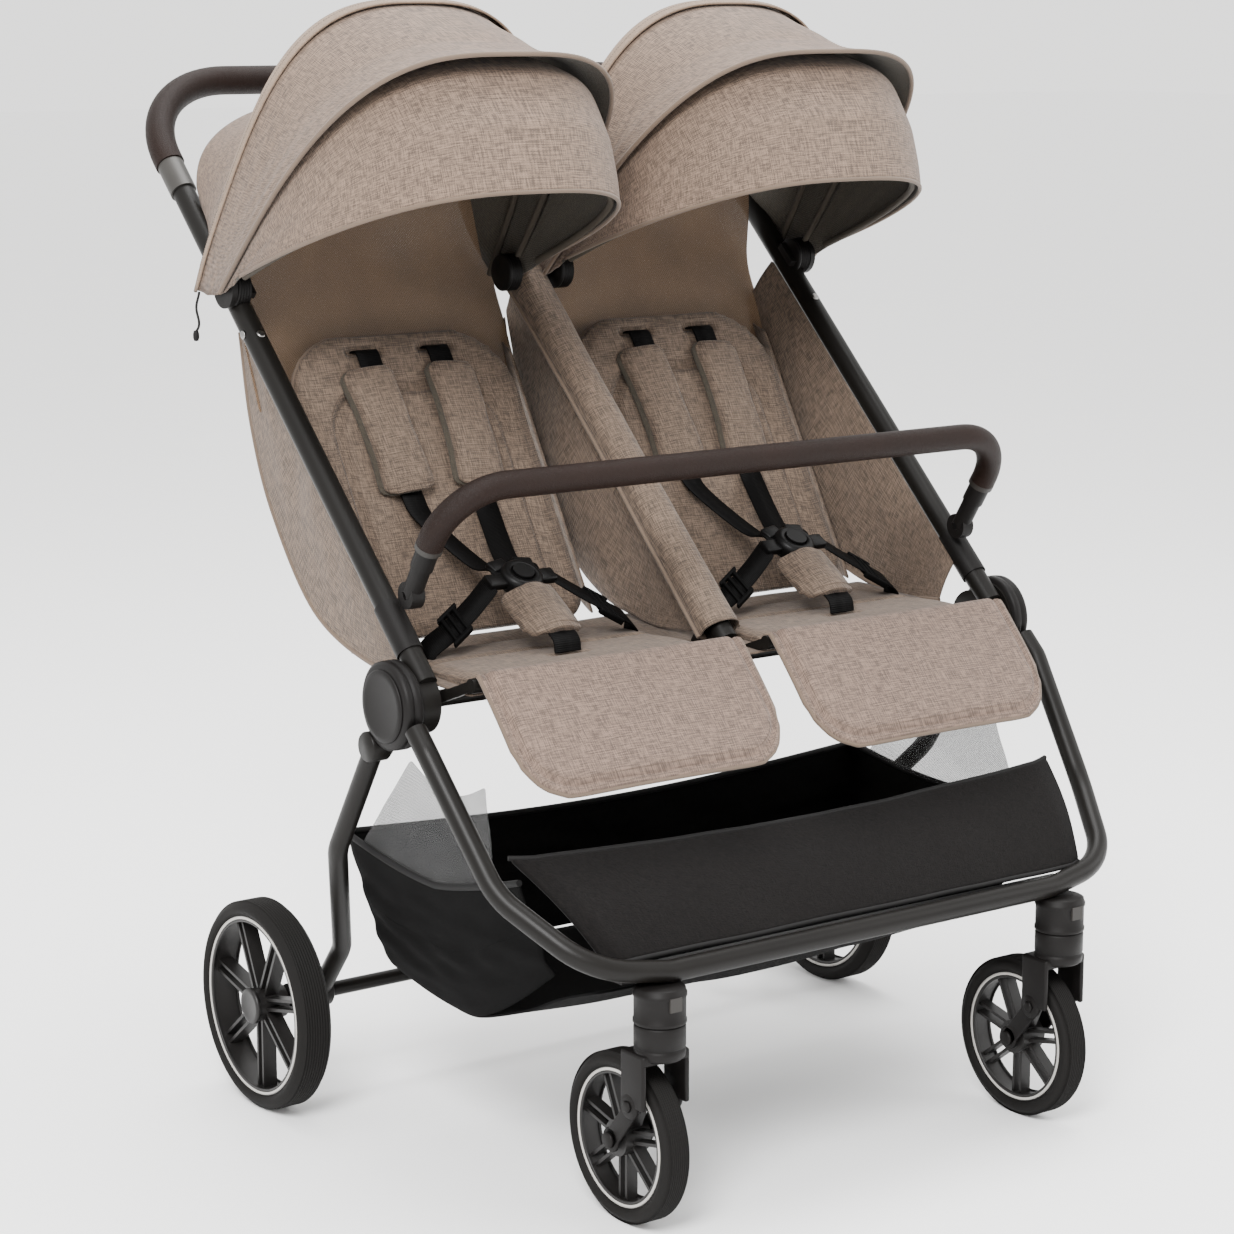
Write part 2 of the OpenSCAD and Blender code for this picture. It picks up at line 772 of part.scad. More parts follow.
module fork(side) {
    color("#23201e") translate([side * caster_x, 0, 0]) difference() {
        union() {
            translate([0, caster_y, yoke_z]) cylinder(r = post_r, h = socket_bottom - pass_gap - yoke_z);
            translate([0, caster_y, socket_bottom - 6]) cylinder(r = stem_r, h = stem_len + 4);
            for (s = [-1, 1])
                translate([s * (fork_gap + arm_t + 0.5 + yoke_t / 2) - yoke_t / 2, 0, 0]) {
                    translate([0, caster_y - 10, swing_pivot[1]]) cube([yoke_t, 34, yoke_z + 8 - swing_pivot[1]]);
                    pin_x(yoke_t / 2, swing_pivot[0], swing_pivot[1], 11, yoke_t);
                }
            translate([-fork_gap - arm_t - 0.5 - yoke_t, caster_y - 10, yoke_z])
                cube([2 * (fork_gap + arm_t + 0.5 + yoke_t), 34, 8]);
            for (s = [-1, 1])
                pin_x(s * (fork_gap + arm_t / 2 + 1), swing_pivot[0], swing_pivot[1], 4, arm_t + 4);
        }
    }
}

module fork_left() fork(-1);

module fork_right() fork(1);

module swing_arm(side) {
    reach = norm([front_axle_y - swing_pivot[0], front_wheel_r - swing_pivot[1]]);
    drop = atan2(front_wheel_r - swing_pivot[1], front_axle_y - swing_pivot[0]);
    color("#2a2624") translate([side * caster_x, 0, 0]) {
        difference() {
            for (s = [-1, 1])
                translate([s * (fork_gap + arm_t / 2), 0, 0]) {
                    pin_x(0, swing_pivot[0], swing_pivot[1], 9, arm_t - 0.6);
                    pin_x(0, front_axle_y, front_wheel_r, 10, arm_t - 0.6);
                    translate([-arm_t / 2, swing_pivot[0], swing_pivot[1]]) rotate([drop, 0, 0])
                        translate([0, 0, -8]) cube([arm_t, reach, 16]);
                }
            pin_x(0, swing_pivot[0], swing_pivot[1], 4 + run_gap, 80);
        }
        pin_x(0, front_axle_y, front_wheel_r, axle_r, 2 * (fork_gap + arm_t) + 3);
    }
}

module swing_arm_left() swing_arm(-1);

module swing_arm_right() swing_arm(1);

front_tube();
hub_plates();
hub_shells();
hub_caps();
seat_rails();
seat_pad_left();
seat_pad_right();
crotch_pads();
buckles();
buckle_button_left();
buckle_button_right();
caster_sockets();
caster_release_left();
caster_release_right();
basket();
basket_front();
front_ledge();
push_tubes();
handle_grip();
handle_clips();
trigger_housing();
fold_trigger();
fold_button();
canopy_mounts();
canopy_rear_left();
canopy_rear_right();
canopy_front_left();
canopy_front_right();
visor_left();
visor_right();
seat_wings();
backrest_left();
backrest_right();
shoulder_pads_left();
shoulder_pads_right();
leg_rest_left();
leg_rest_right();
guard_brackets();
guard_adapters();
guard_bar();
rear_legs();
rear_cross_tube();
brake_housings();
brake_pedal();
rear_tyre_left();
rear_rim_left();
rear_tyre_right();
rear_rim_right();
fork_left();
swing_arm_left();
front_tyre_left();
front_rim_left();
fork_right();
swing_arm_right();
front_tyre_right();
front_rim_right();
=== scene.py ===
import json
import math

import numpy as np

import bmesh
import bpy
from mathutils import Matrix, Vector, noise
from mathutils.bvhtree import BVHTree

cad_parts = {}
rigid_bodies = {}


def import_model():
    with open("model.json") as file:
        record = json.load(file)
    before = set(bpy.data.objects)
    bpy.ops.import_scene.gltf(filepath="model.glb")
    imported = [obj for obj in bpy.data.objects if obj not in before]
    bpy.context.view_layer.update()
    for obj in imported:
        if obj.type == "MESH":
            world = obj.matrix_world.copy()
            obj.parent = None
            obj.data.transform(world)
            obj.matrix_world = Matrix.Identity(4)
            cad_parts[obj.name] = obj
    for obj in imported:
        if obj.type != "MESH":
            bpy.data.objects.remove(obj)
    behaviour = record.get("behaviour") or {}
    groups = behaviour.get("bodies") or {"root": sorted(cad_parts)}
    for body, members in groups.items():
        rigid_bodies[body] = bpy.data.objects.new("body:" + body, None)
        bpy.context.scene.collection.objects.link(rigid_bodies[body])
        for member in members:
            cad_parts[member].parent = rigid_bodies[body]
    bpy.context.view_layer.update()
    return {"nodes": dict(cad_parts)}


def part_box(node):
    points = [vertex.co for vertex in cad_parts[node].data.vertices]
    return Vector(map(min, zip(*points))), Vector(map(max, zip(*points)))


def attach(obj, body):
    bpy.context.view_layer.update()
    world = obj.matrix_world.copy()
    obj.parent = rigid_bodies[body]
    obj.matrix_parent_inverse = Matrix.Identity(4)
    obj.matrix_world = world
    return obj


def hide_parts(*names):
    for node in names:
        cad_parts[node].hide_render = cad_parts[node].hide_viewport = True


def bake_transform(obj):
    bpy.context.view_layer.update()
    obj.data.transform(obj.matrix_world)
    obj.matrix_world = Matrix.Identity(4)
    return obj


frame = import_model()

# ---------- viewpoint, floor and light ----------
# A product shot: long lens, three-quarter view from the front left, on a pale
# sweep under large soft lamps.
lens = bpy.data.cameras.new("camera")
lens.lens = 89.3
camera = bpy.data.objects.new("camera", lens)
camera.location = (-1.7969, -2.5005, 1.0901)
camera.rotation_euler = (math.radians(78.85), 0, math.radians(-35.44))
bpy.context.collection.objects.link(camera)
bpy.context.scene.camera = camera


class Pattern:
    """A number that changes over a surface. Sums written on it become shader nodes."""

    def __init__(self, finish, socket):
        self.finish, self.socket = finish, socket

    def _sum(self, operation, a, b):
        return self.finish.node("ShaderNodeMath", {"operation": operation}, {0: a, 1: b})

    def __add__(self, other):
        return self._sum("ADD", self, other)

    __radd__ = __add__

    def __sub__(self, other):
        return self._sum("SUBTRACT", self, other)

    def __rsub__(self, other):
        return self._sum("SUBTRACT", other, self)

    def __mul__(self, other):
        return self._sum("MULTIPLY", self, other)

    __rmul__ = __mul__

    def __pow__(self, other):
        return self._sum("POWER", self, other)


class Finish:
    """A finish being mixed: nodes go in, and a material comes out."""

    def __init__(self, name):
        self.material = bpy.data.materials.new(name)
        self.material.use_nodes = True
        self.tree = self.material.node_tree
        self.tree.nodes.clear()

    def node(self, kind, settings, sockets, out=0):
        made = self.tree.nodes.new(kind)
        for key, value in settings.items():
            if key == "stops":
                while len(made.color_ramp.elements) < len(value):
                    made.color_ramp.elements.new(0.5)
                for stop, (place, shade) in zip(made.color_ramp.elements, value):
                    stop.position, stop.color = place, shade
            else:
                setattr(made, key, value)
        for key, value in sockets.items():
            if isinstance(value, Pattern):
                self.tree.links.new(value.socket, made.inputs[key])
            else:
                made.inputs[key].default_value = value
        return Pattern(self, made.outputs[out])

    def place(self, own_map=False, scale=(1, 1, 1), turn=0):
        """Where a pattern lies: on the piece's own cut, or in the object's metres."""
        source = self.node("ShaderNodeTexCoord", {}, {}, out="UV" if own_map else "Object")
        return self.node("ShaderNodeMapping", {}, {"Vector": source, "Scale": scale, "Rotation": (0, 0, turn)})

    def cloud(self, where, scale, detail=3.0, rough=0.5):
        return self.node("ShaderNodeTexNoise", {}, {"Vector": where, "Scale": scale, "Detail": detail, "Roughness": rough})

    def between(self, mask, dark, light):
        """A colour that runs from dark to light as the mask runs from 0 to 1."""
        return self.node("ShaderNodeMix", {"data_type": "RGBA"}, {0: mask, 6: dark, 7: light}, out=2)

    def limits(self, value, low, high):
        """The value stretched so that low becomes 0 and high becomes 1, and cut off there."""
        return self.node("ShaderNodeMapRange", {}, {0: value, 1: low, 2: high})

    def done(self, colour, roughness, height, depth, **constants):
        bump = self.node("ShaderNodeBump", {}, {"Height": height, "Distance": depth, "Strength": 1.0})
        sockets = {"Base Color": colour, "Roughness": roughness, "Normal": bump}
        sockets.update({key.replace("_", " "): value for key, value in constants.items()})
        shader = self.node("ShaderNodeBsdfPrincipled", {}, sockets)
        self.node_out = self.tree.nodes.new("ShaderNodeOutputMaterial")
        self.tree.links.new(shader.socket, self.node_out.inputs["Surface"])
        return self.material


def dye(red, green, blue):
    """A dye or paint colour from a swatch's 0-255 numbers."""
    return tuple(((c / 255 + 0.055) / 1.055) ** 2.4 if c > 10 else c / 3295 for c in (red, green, blue)) + (1,)


bm = bmesh.new()
bmesh.ops.create_grid(bm, x_segments=2, y_segments=2, size=30)
floor_mesh = bpy.data.meshes.new("floor")
bm.to_mesh(floor_mesh)
bm.free()
floor = bpy.data.objects.new("floor", floor_mesh)
bpy.context.collection.objects.link(floor)
sweep = Finish("pale_sweep")
dust = sweep.cloud(sweep.place(), 3.0)
floor_mesh.materials.append(sweep.done(sweep.between(dust, (0.95, 0.95, 0.95, 1), (0.97, 0.97, 0.97, 1)), 0.7, dust, 0.0001))

world = bpy.data.worlds.new("studio")
world.use_nodes = True
world.node_tree.nodes["Background"].inputs["Color"].default_value = (1.0, 0.995, 0.985, 1)
world.node_tree.nodes["Background"].inputs["Strength"].default_value = 1.9
bpy.context.scene.world = world


def lamp(name, at, toward, size, power):
    light = bpy.data.lights.new(name, "AREA")
    light.shape, light.size, light.energy = "DISK", size, power
    obj = bpy.data.objects.new(name, light)
    obj.location = at
    obj.rotation_euler = (Vector(toward) - Vector(at)).to_track_quat("-Z", "Y").to_euler()
    bpy.context.collection.objects.link(obj)


lamp("key", (-2.4, -2.2, 3.0), (0, 0, 0.5), 1.6, 280)
lamp("fill", (2.8, -1.8, 1.6), (0, 0, 0.5), 2.0, 36)
lamp("top", (0.4, 0.4, 3.6), (0, 0, 0.4), 2.4, 150)

# ---------- front frame tubes ----------
# One bent aluminium tube runs from hub to hub under the basket panel, powder
# coated satin black. Straight axle and seat tubes join the two hubs.
hub = (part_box("hub_caps")[0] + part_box("hub_caps")[1]) / 2


def coat(name, low, high, rough, grain, depth, **constants):
    """A paint or moulded finish: fine grain, and faint cloudy wear in its colour and gloss."""
    finish = Finish(name)
    where = finish.place()
    cloud = finish.cloud(where, 9.0, 4.0)
    speck = finish.cloud(where, grain, 2.0)
    shade = finish.between(cloud * 0.7 + speck * 0.3, low, high)
    return finish.done(shade, rough - 0.08 + cloud * 0.14 + speck * 0.06, speck, depth, **constants)


frame_paint = coat("frame_paint", dye(11, 10, 9), dye(20, 18, 16), 0.36, 2400, 0.00006, Specular_IOR_Level=0.14)


def fit(name, mesh, finishes, body, slot, *nodes, smooth=True):
    """Puts a finished piece on the stroller: its finish, the body it rides on and the nodes it stands for. A piece
    given a tuple instead of one body name rides on none and stays where it is made.
    """
    if isinstance(mesh, bmesh.types.BMesh):
        made = bpy.data.meshes.new(name)
        mesh.to_mesh(made)
        mesh.free()
        mesh = made
    obj = bpy.data.objects.new(name, mesh)
    bpy.context.collection.objects.link(obj)
    mesh.materials.clear()
    for finish in finishes if isinstance(finishes, list) else [finishes]:
        mesh.materials.append(finish)
    mesh.shade_smooth() if smooth else mesh.shade_flat()
    if isinstance(body, str):
        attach(obj, body)
    else:
        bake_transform(obj)
    if nodes:
        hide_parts(*nodes)
    return obj


def repaint(finish, *nodes):
    for node in nodes:
        mesh = frame["nodes"][node].data
        mesh.materials.clear()
        mesh.materials.append(finish)


def bent(corners, steps=10):
    """A path round corners [(point, bend radius), ...], as a tube bender makes it."""
    path = []
    for i, (point, radius) in enumerate(corners):
        point = Vector(point)
        if radius == 0:
            path.append(point)
            continue
        a = (Vector(corners[i - 1][0]) - point).normalized()
        b = (Vector(corners[i + 1][0]) - point).normalized()
        half = a.angle(b) / 2
        middle = point + (a + b).normalized() * radius / math.sin(half)
        start = point + a * radius / math.tan(half) - middle
        stop = point + b * radius / math.tan(half) - middle
        turn = start.angle(stop)
        for k in range(steps + 1):
            share = k / steps
            path.append(middle + (start * math.sin(turn * (1 - share)) + stop * math.sin(turn * share)) / math.sin(turn))
    return path


def tube(path, radius, oval=1.0, sides=24, caps=True):
    """Mesh of a tube along a path. Oval flattens it along the path's own up direction."""
    section = bpy.data.curves.new("section", "CURVE")
    ring = section.splines.new("POLY")
    ring.points.add(sides - 1)
    for k, dot in enumerate(ring.points):
        a = 2 * math.pi * k / sides
        dot.co = (radius * math.cos(a), radius * oval * math.sin(a), 0, 1)
    ring.use_cyclic_u = True
    shape = bpy.data.objects.new("section", section)
    curve = bpy.data.curves.new("tube", "CURVE")
    curve.dimensions = "3D"
    curve.bevel_mode = "OBJECT"
    curve.bevel_object = shape
    curve.use_fill_caps = caps
    curve.twist_mode = "MINIMUM"
    line = curve.splines.new("POLY")
    line.points.add(len(path) - 1)
    for dot, point in zip(line.points, path):
        dot.co = (*point, 1)
    obj = bpy.data.objects.new("tube", curve)
    bpy.context.collection.objects.link(obj)
    bpy.context.view_layer.update()
    mesh = bpy.data.meshes.new_from_object(obj.evaluated_get(bpy.context.evaluated_depsgraph_get()))
    for used in (obj, shape):
        bpy.data.objects.remove(used)
    return mesh


leg_x = 0.3738
leg_corners = [
    ((leg_x, hub.y - 0.0421, hub.z - 0.0155), 0),
    ((leg_x, hub.y - 0.062, hub.z - 0.034), 0.04),
    ((leg_x - 0.016, hub.y - 0.15, hub.z - 0.15), 0.09),
    ((leg_x - 0.062, -0.3765, 0.26), 0.074),
    ((leg_x - 0.14, -0.3845, 0.248), 0.06),
]
leg_corners += [((-p[0], p[1], p[2]), r) for p, r in reversed(leg_corners)]
fit("front_leg_tube", tube(bent(leg_corners), 0.0104), frame_paint, "front_frame", "frame_paint", "front_tube")
repaint(frame_paint, "seat_rails", "hub_plates", "push_tubes", "rear_cross_tube")


def turned(profile, centre, axis="X", steps=64):
    """A piece turned on a lathe: profile [(radius, along), ...] spun round the axis through centre."""
    bm = bmesh.new()
    dots = [bm.verts.new((0, r, a)) for r, a in profile]
    edges = [bm.edges.new(pair) for pair in zip(dots, dots[1:])]
    bmesh.ops.spin(bm, geom=dots + edges, cent=(0, 0, 0), axis=(0, 0, 1), angle=2 * math.pi, steps=steps, use_merge=True)
    bmesh.ops.remove_doubles(bm, verts=bm.verts, dist=1e-5)
    bmesh.ops.recalc_face_normals(bm, faces=bm.faces)
    turn = {"X": Matrix.Rotation(math.pi / 2, 4, "Y"), "Y": Matrix.Rotation(-math.pi / 2, 4, "X"), "Z": Matrix.Identity(4)}
    turn = turn[axis] if isinstance(axis, str) else Vector(axis).to_track_quat("Z", "Y").to_matrix().to_4x4()
    bmesh.ops.transform(bm, matrix=Matrix.Translation(centre) @ turn, verts=bm.verts)
    return bm


def block(size, centre, turn=None, soft=0.0015, segments=3):
    """A moulded block with eased edges."""
    bm = bmesh.new()
    bmesh.ops.create_cube(bm, size=1)
    bmesh.ops.scale(bm, vec=size, verts=bm.verts)
    bmesh.ops.bevel(bm, geom=bm.edges[:] + bm.verts[:], offset=soft, offset_type="OFFSET", segments=segments, profile=0.5, affect="EDGES", material=-1)
    bmesh.ops.transform(bm, matrix=Matrix.Translation(centre) @ (turn or Matrix.Identity(4)), verts=bm.verts)
    return bm


def joined(*parts):
    """Several made-up meshes as one."""
    whole = bmesh.new()
    for part in parts:
        if isinstance(part, bmesh.types.BMesh):
            mesh = bpy.data.meshes.new("part")
            part.to_mesh(mesh)
            part.free()
            part = mesh
        whole.from_mesh(part)
    return whole


# ---------- folding hubs ----------
# Round two-part nylon housings over the fold joints, with a dished cover and
# a shadow gap.
hub_plastic = coat("hub_plastic", dye(10, 9, 9), dye(20, 18, 17), 0.46, 1500, 0.00012, Specular_IOR_Level=0.12)
rivet_steel = coat("rivet_steel", dye(120, 118, 116), dye(150, 148, 146), 0.3, 900, 0.00003, Metallic=1.0)
shells, covers, rivets = [], [], []
for side in (-1, 1):
    x = side * 0.3633
    shells.append(turned([(0.0, 0), (0.0395, 0), (0.042, side * 0.0025), (0.042, side * 0.008), (0.0405, side * 0.009),
                          (0.0405, side * 0.0105), (0.042, side * 0.0115), (0.0415, side * 0.0165), (0.038, side * 0.019),
                          (0.0, side * 0.019)], (x, hub.y, hub.z)))
    covers.append(turned([(0.0, side * 0.0188), (0.0345, side * 0.0188), (0.0345, side * 0.0205), (0.0332, side * 0.0215),
                          (0.029, side * 0.0219), (0.026, side * 0.0212), (0.0, side * 0.0208)], (x, hub.y, hub.z)))
fit("hub_housings", joined(*shells), hub_plastic, "front_frame", "hub_plastic", "hub_shells")
fit("hub_covers", joined(*covers), hub_plastic, "front_frame", "hub_plastic", "hub_caps")

# ---------- push frame ----------
# Two side tubes and a covered middle tube slope up to one handle. Steel
# rivets pin the tubes to the hub and the seat brackets.
tilt = math.radians(43.5)
push = Matrix.Translation((0, hub.y, hub.z)) @ Matrix.Rotation(tilt, 4, "X")


def rivet(at, axis, radius=0.0045, proud=0.0016):
    return turned([(0, 0), (radius, 0), (radius * 0.92, proud * 0.55), (radius * 0.6, proud * 0.9), (0, proud)], at, axis, 20)


for side in (-1, 1):
    for s in (0.055, 0.075, 0.42):
        rivets.append(rivet(push @ Vector((side * 0.348, s, 0.0384)), push.to_3x3() @ Vector((0, 0, 1))))
        rivets.append(rivet(push @ Vector((side * 0.3595, s + 0.01, 0.027)), (side, 0, 0)))
fit("push_tube_rivets", joined(*rivets), rivet_steel, "push_frame", "alloy")
collars = [tube([push @ Vector((side * 0.348, s, 0.027)) for s in (0.036, 0.0365, 0.0905, 0.091)], 0.0133) for side in (-1, 1)]
fit("push_tube_collars", joined(*collars), hub_plastic, "push_frame", "hub_plastic")

# ---------- handle ----------
# The handle is one bent tube in a stitched leather sleeve, with a grey alloy
# clip at each end and the one-hand fold trigger under its middle.


def grain(name, low, high):
    """Fine pebbled leather: small creased cells, and darker where hands have rubbed it."""
    finish = Finish(name)
    where = finish.place()
    cell = finish.node("ShaderNodeTexVoronoi", {"feature": "DISTANCE_TO_EDGE"}, {"Vector": where, "Scale": 620.0})
    crease = finish.limits(cell, 0.0, 0.35)
    cloud = finish.cloud(where, 14.0, 4.0)
    shade = finish.between(cloud * 0.65 + crease * 0.35, low, high)
    return finish.done(shade, 0.5 - crease * 0.1 + cloud * 0.1, crease, 0.00022, Specular_IOR_Level=0.12)


leather = grain("leather", dye(14, 8, 6), dye(31, 18, 13))
thread = coat("leather_thread", dye(40, 27, 22), dye(60, 44, 38), 0.7, 2000, 0.00005)
handle_s, tube_x, rise = 0.7783, 0.348, 0.027
clip_s = handle_s - 0.145
handle_path = [push @ p for p in bent([((-tube_x, clip_s + 0.026, rise), 0), ((-tube_x, handle_s, rise), 0.11),
                                       ((tube_x, handle_s, rise), 0.11), ((tube_x, clip_s + 0.026, rise), 0)], 20)]
fit("handle_sleeve", tube(handle_path, 0.015, sides=32), leather, "push_frame", "leather", "handle_grip")
alloy = coat("alloy", dye(40, 38, 36), dye(58, 56, 53), 0.4, 1800, 0.00004, Metallic=0.4)
repaint(alloy, "handle_clips")
repaint(hub_plastic, "trigger_housing", "canopy_mounts", "guard_brackets", "guard_adapters", "brake_housings", "front_ledge")
trim_plastic = coat("trim_plastic", dye(24, 22, 20), dye(40, 37, 34), 0.46, 1500, 0.0001, Specular_IOR_Level=0.3)
repaint(trim_plastic, "fold_trigger", "fold_button", "brake_pedal", "caster_release_left", "caster_release_right")


def row_of_stitches(path, on, pitch=0.0042, long=0.0029, thick=0.0007, lift=0.0002):
    """Short thread stitches laid on a surface along a path."""
    tree = BVHTree.FromPolygons([v.co.copy() for v in on.vertices], [p.vertices[:] for p in on.polygons])
    whole = bmesh.new()
    gone = 0.0
    for a, b in zip(path, path[1:]):
        run = b - a
        while run.length > 0 and gone < run.length:
            spot, up, _, _ = tree.find_nearest(a + run * (gone / run.length))
            along = (run - up * run.dot(up)).normalized()
            turn = Matrix((along, up.cross(along), up)).transposed().to_4x4()
            bmesh.ops.create_cube(whole, size=1, matrix=Matrix.Translation(spot + up * lift) @ turn @ Matrix.Diagonal((long, thick, thick, 1)))
            gone += pitch
        gone -= run.length
    return whole


inner = [push @ p for p in bent([((-tube_x + 0.013, clip_s + 0.03, rise - 0.006), 0), ((-tube_x + 0.013, handle_s - 0.013, rise - 0.006), 0.098),
                                 ((tube_x - 0.013, handle_s - 0.013, rise - 0.006), 0.098), ((tube_x - 0.013, clip_s + 0.03, rise - 0.006), 0)], 20)]
fit("handle_stitching", row_of_stitches(inner, bpy.data.objects["handle_sleeve"].data), thread, "push_frame", "leather", smooth=False)

# ---------- bumper bar ----------
# A leather-covered bow plugs into two moulded arms that turn on the push
# tubes. A ring closes each end of the sleeve.
guard = Matrix.Translation((0, hub.y + 0.081 * math.cos(tilt) - 0.056 * math.sin(tilt), hub.z + 0.081 * math.sin(tilt) + 0.056 * math.cos(tilt)))
guard = guard @ Matrix.Rotation(math.radians(122.6), 4, "X")
guard_x, reach = 0.338, 0.126
guard_path = [guard @ p for p in bent([((-guard_x, 0.0606, 0), 0), ((-guard_x, reach, 0), 0.062), ((guard_x, reach, 0), 0.062), ((guard_x, 0.0606, 0), 0)], 20)]
fit("bumper_bar_sleeve", tube(guard_path, 0.013, sides=32), leather, "guard_bar", "leather", "guard_bar")
inner = [guard @ p for p in bent([((-guard_x + 0.012, 0.062, -0.005), 0), ((-guard_x + 0.012, reach - 0.012, -0.005), 0.05),
                                  ((guard_x - 0.012, reach - 0.012, -0.005), 0.05), ((guard_x - 0.012, 0.062, -0.005), 0)], 20)]
fit("bumper_bar_stitching", row_of_stitches(inner, bpy.data.objects["bumper_bar_sleeve"].data), thread, "guard_bar", "leather", smooth=False)
rings = [tube([guard @ Vector((side * guard_x, s, 0)) for s in (0.0555, 0.056, 0.0605, 0.061)], 0.0132) for side in (-1, 1)]
fit("bumper_bar_rings", joined(*rings), trim_plastic, "guard_bar", "trim_plastic")

# ---------- rear legs ----------
# Tubes drop from the hubs, kink inwards and hold the rear axle; they are flattened on the stroller but drawn round
# here.
back_pivot = Vector((leg_x, hub.y + 0.03, hub.z - 0.044))
axle = Vector((0, 0.123, 0.107))
legs = []
for side in (-1, 1):
    path = bent([((side * leg_x, back_pivot.y, back_pivot.z), 0), ((side * (leg_x - 0.003), back_pivot.y + 0.078, back_pivot.z - 0.118), 0.06),
                 ((side * 0.304, axle.y - 0.048, axle.z + 0.06), 0.06), ((side * 0.304, axle.y, axle.z), 0)])
    legs += [tube(path, 0.0098, oval=1.0), turned([(0, -0.0105), (0.0135, -0.0105), (0.0145, -0.009), (0.0145, 0.009), (0.0135, 0.0105), (0, 0.0105)],
                                                  (side * leg_x, back_pivot.y, back_pivot.z)),
             turned([(0.0079, -0.0105), (0.013, -0.0105), (0.0145, -0.009), (0.0145, 0.009), (0.013, 0.0105), (0.0079, 0.0105)], (side * 0.304, axle.y, axle.z))]
fit("rear_leg_tubes", joined(*legs), frame_paint, "rear_frame", "frame_paint", "rear_legs")

# ---------- wheels ----------
# Grooved foam-filled tyres on seven-spoke nylon rims. A thin pale reflective
# ring runs round each sidewall, and a dished cap hides each axle nut.
tyre_rubber = coat("tyre_rubber", dye(8, 7, 7), dye(17, 15, 13), 0.7, 900, 0.0002, Specular_IOR_Level=0.15)
ring_white = coat("reflective_ring", dye(150, 147, 142), dye(178, 175, 170), 0.42, 2600, 0.00008)
rim_plastic = coat("rim_plastic", dye(12, 11, 11), dye(23, 21, 20), 0.42, 1500, 0.0001, Specular_IOR_Level=0.3)


def wheel(name, x, y, r, w, body, rear):
    depth, half = 0.015, w / 2
    side = [(r - depth, half - 0.004), (r - depth + 0.003, half - 0.0012), (r - 0.0085, half), (r - 0.0045, half - 0.0022)]
    tread = [(r - 0.0016, half - 0.0062)]
    for a in [k * w / 13 for k in range(4, -5, -1)]:
        groove = 0.0016 if rear else 0.0013
        tread += [(r - 0.0004, a + 0.0009), (r - groove, a + 0.0006), (r - groove, a - 0.0006), (r - 0.0004, a - 0.0009)]
    tread += [(r - 0.0016, -half + 0.0062)]
    profile = side + tread + [(radius, -a) for radius, a in reversed(side)]
    fit(name + "_tyre_tread", turned(profile + [profile[0]], (x, y, r), "X", 120), tyre_rubber, body, "tyre", name + "_tyre_" + ("left" if x < 0 else "right"))
    ring = r - 0.0175
    bands = [turned([(ring - 0.0012, s * (half - 0.0052)), (ring - 0.0012, s * (half - 0.0032)), (ring + 0.0014, s * (half - 0.0032)), (ring + 0.0014, s * (half - 0.0052)),
                     (ring - 0.0012, s * (half - 0.0052))], (x, y, r), "X", 96) for s in (-1, 1)]
    lips = [turned([(ring - 0.0045, s * (half - 0.006)), (ring - 0.004, s * (half - 0.0038)), (ring - 0.0014, s * (half - 0.0038)), (ring - 0.0012, s * (half - 0.006)),
                    (ring - 0.0045, s * (half - 0.006))], (x, y, r), "X", 96) for s in (-1, 1)]
    fit(name + "_ring", joined(*bands), ring_white, body, "tyre")
    caps = []
    for s in (-1, 1):
        edge = s * (half - 0.001)
        caps.append(turned([(0, edge - s * 0.003), (0.0185, edge - s * 0.003), (0.018, edge + s * 0.0006), (0.0155, edge + s * 0.0018), (0.0125, edge + s * 0.0008), (0, edge + s * 0.0008)]
                           if rear and s * x > 0 else [(0.006, edge - s * 0.004), (0.0165, edge - s * 0.004), (0.0158, edge), (0.006, edge - s * 0.001), (0.006, edge - s * 0.004)], (x, y, r), "X", 48))
    fit(name + "_caps", joined(*caps, *lips), rim_plastic, body, "rim_plastic")


for side, word in ((-1, "left"), (1, "right")):
    repaint(rim_plastic, "rear_rim_" + word, "front_rim_" + word)
    for end, x, y, r, w in (("rear", 0.3665, axle.y, 0.107, 0.038), ("front", 0.2445, -0.337, 0.081, 0.03)):
        before = set(bpy.data.objects)
        wheel(end, side * x, y, r, w, f"{end}_wheel_{word}", end == "rear")
        for obj in set(bpy.data.objects) - before:
            obj.name = f"{obj.name.split('.')[0]}_{word}"

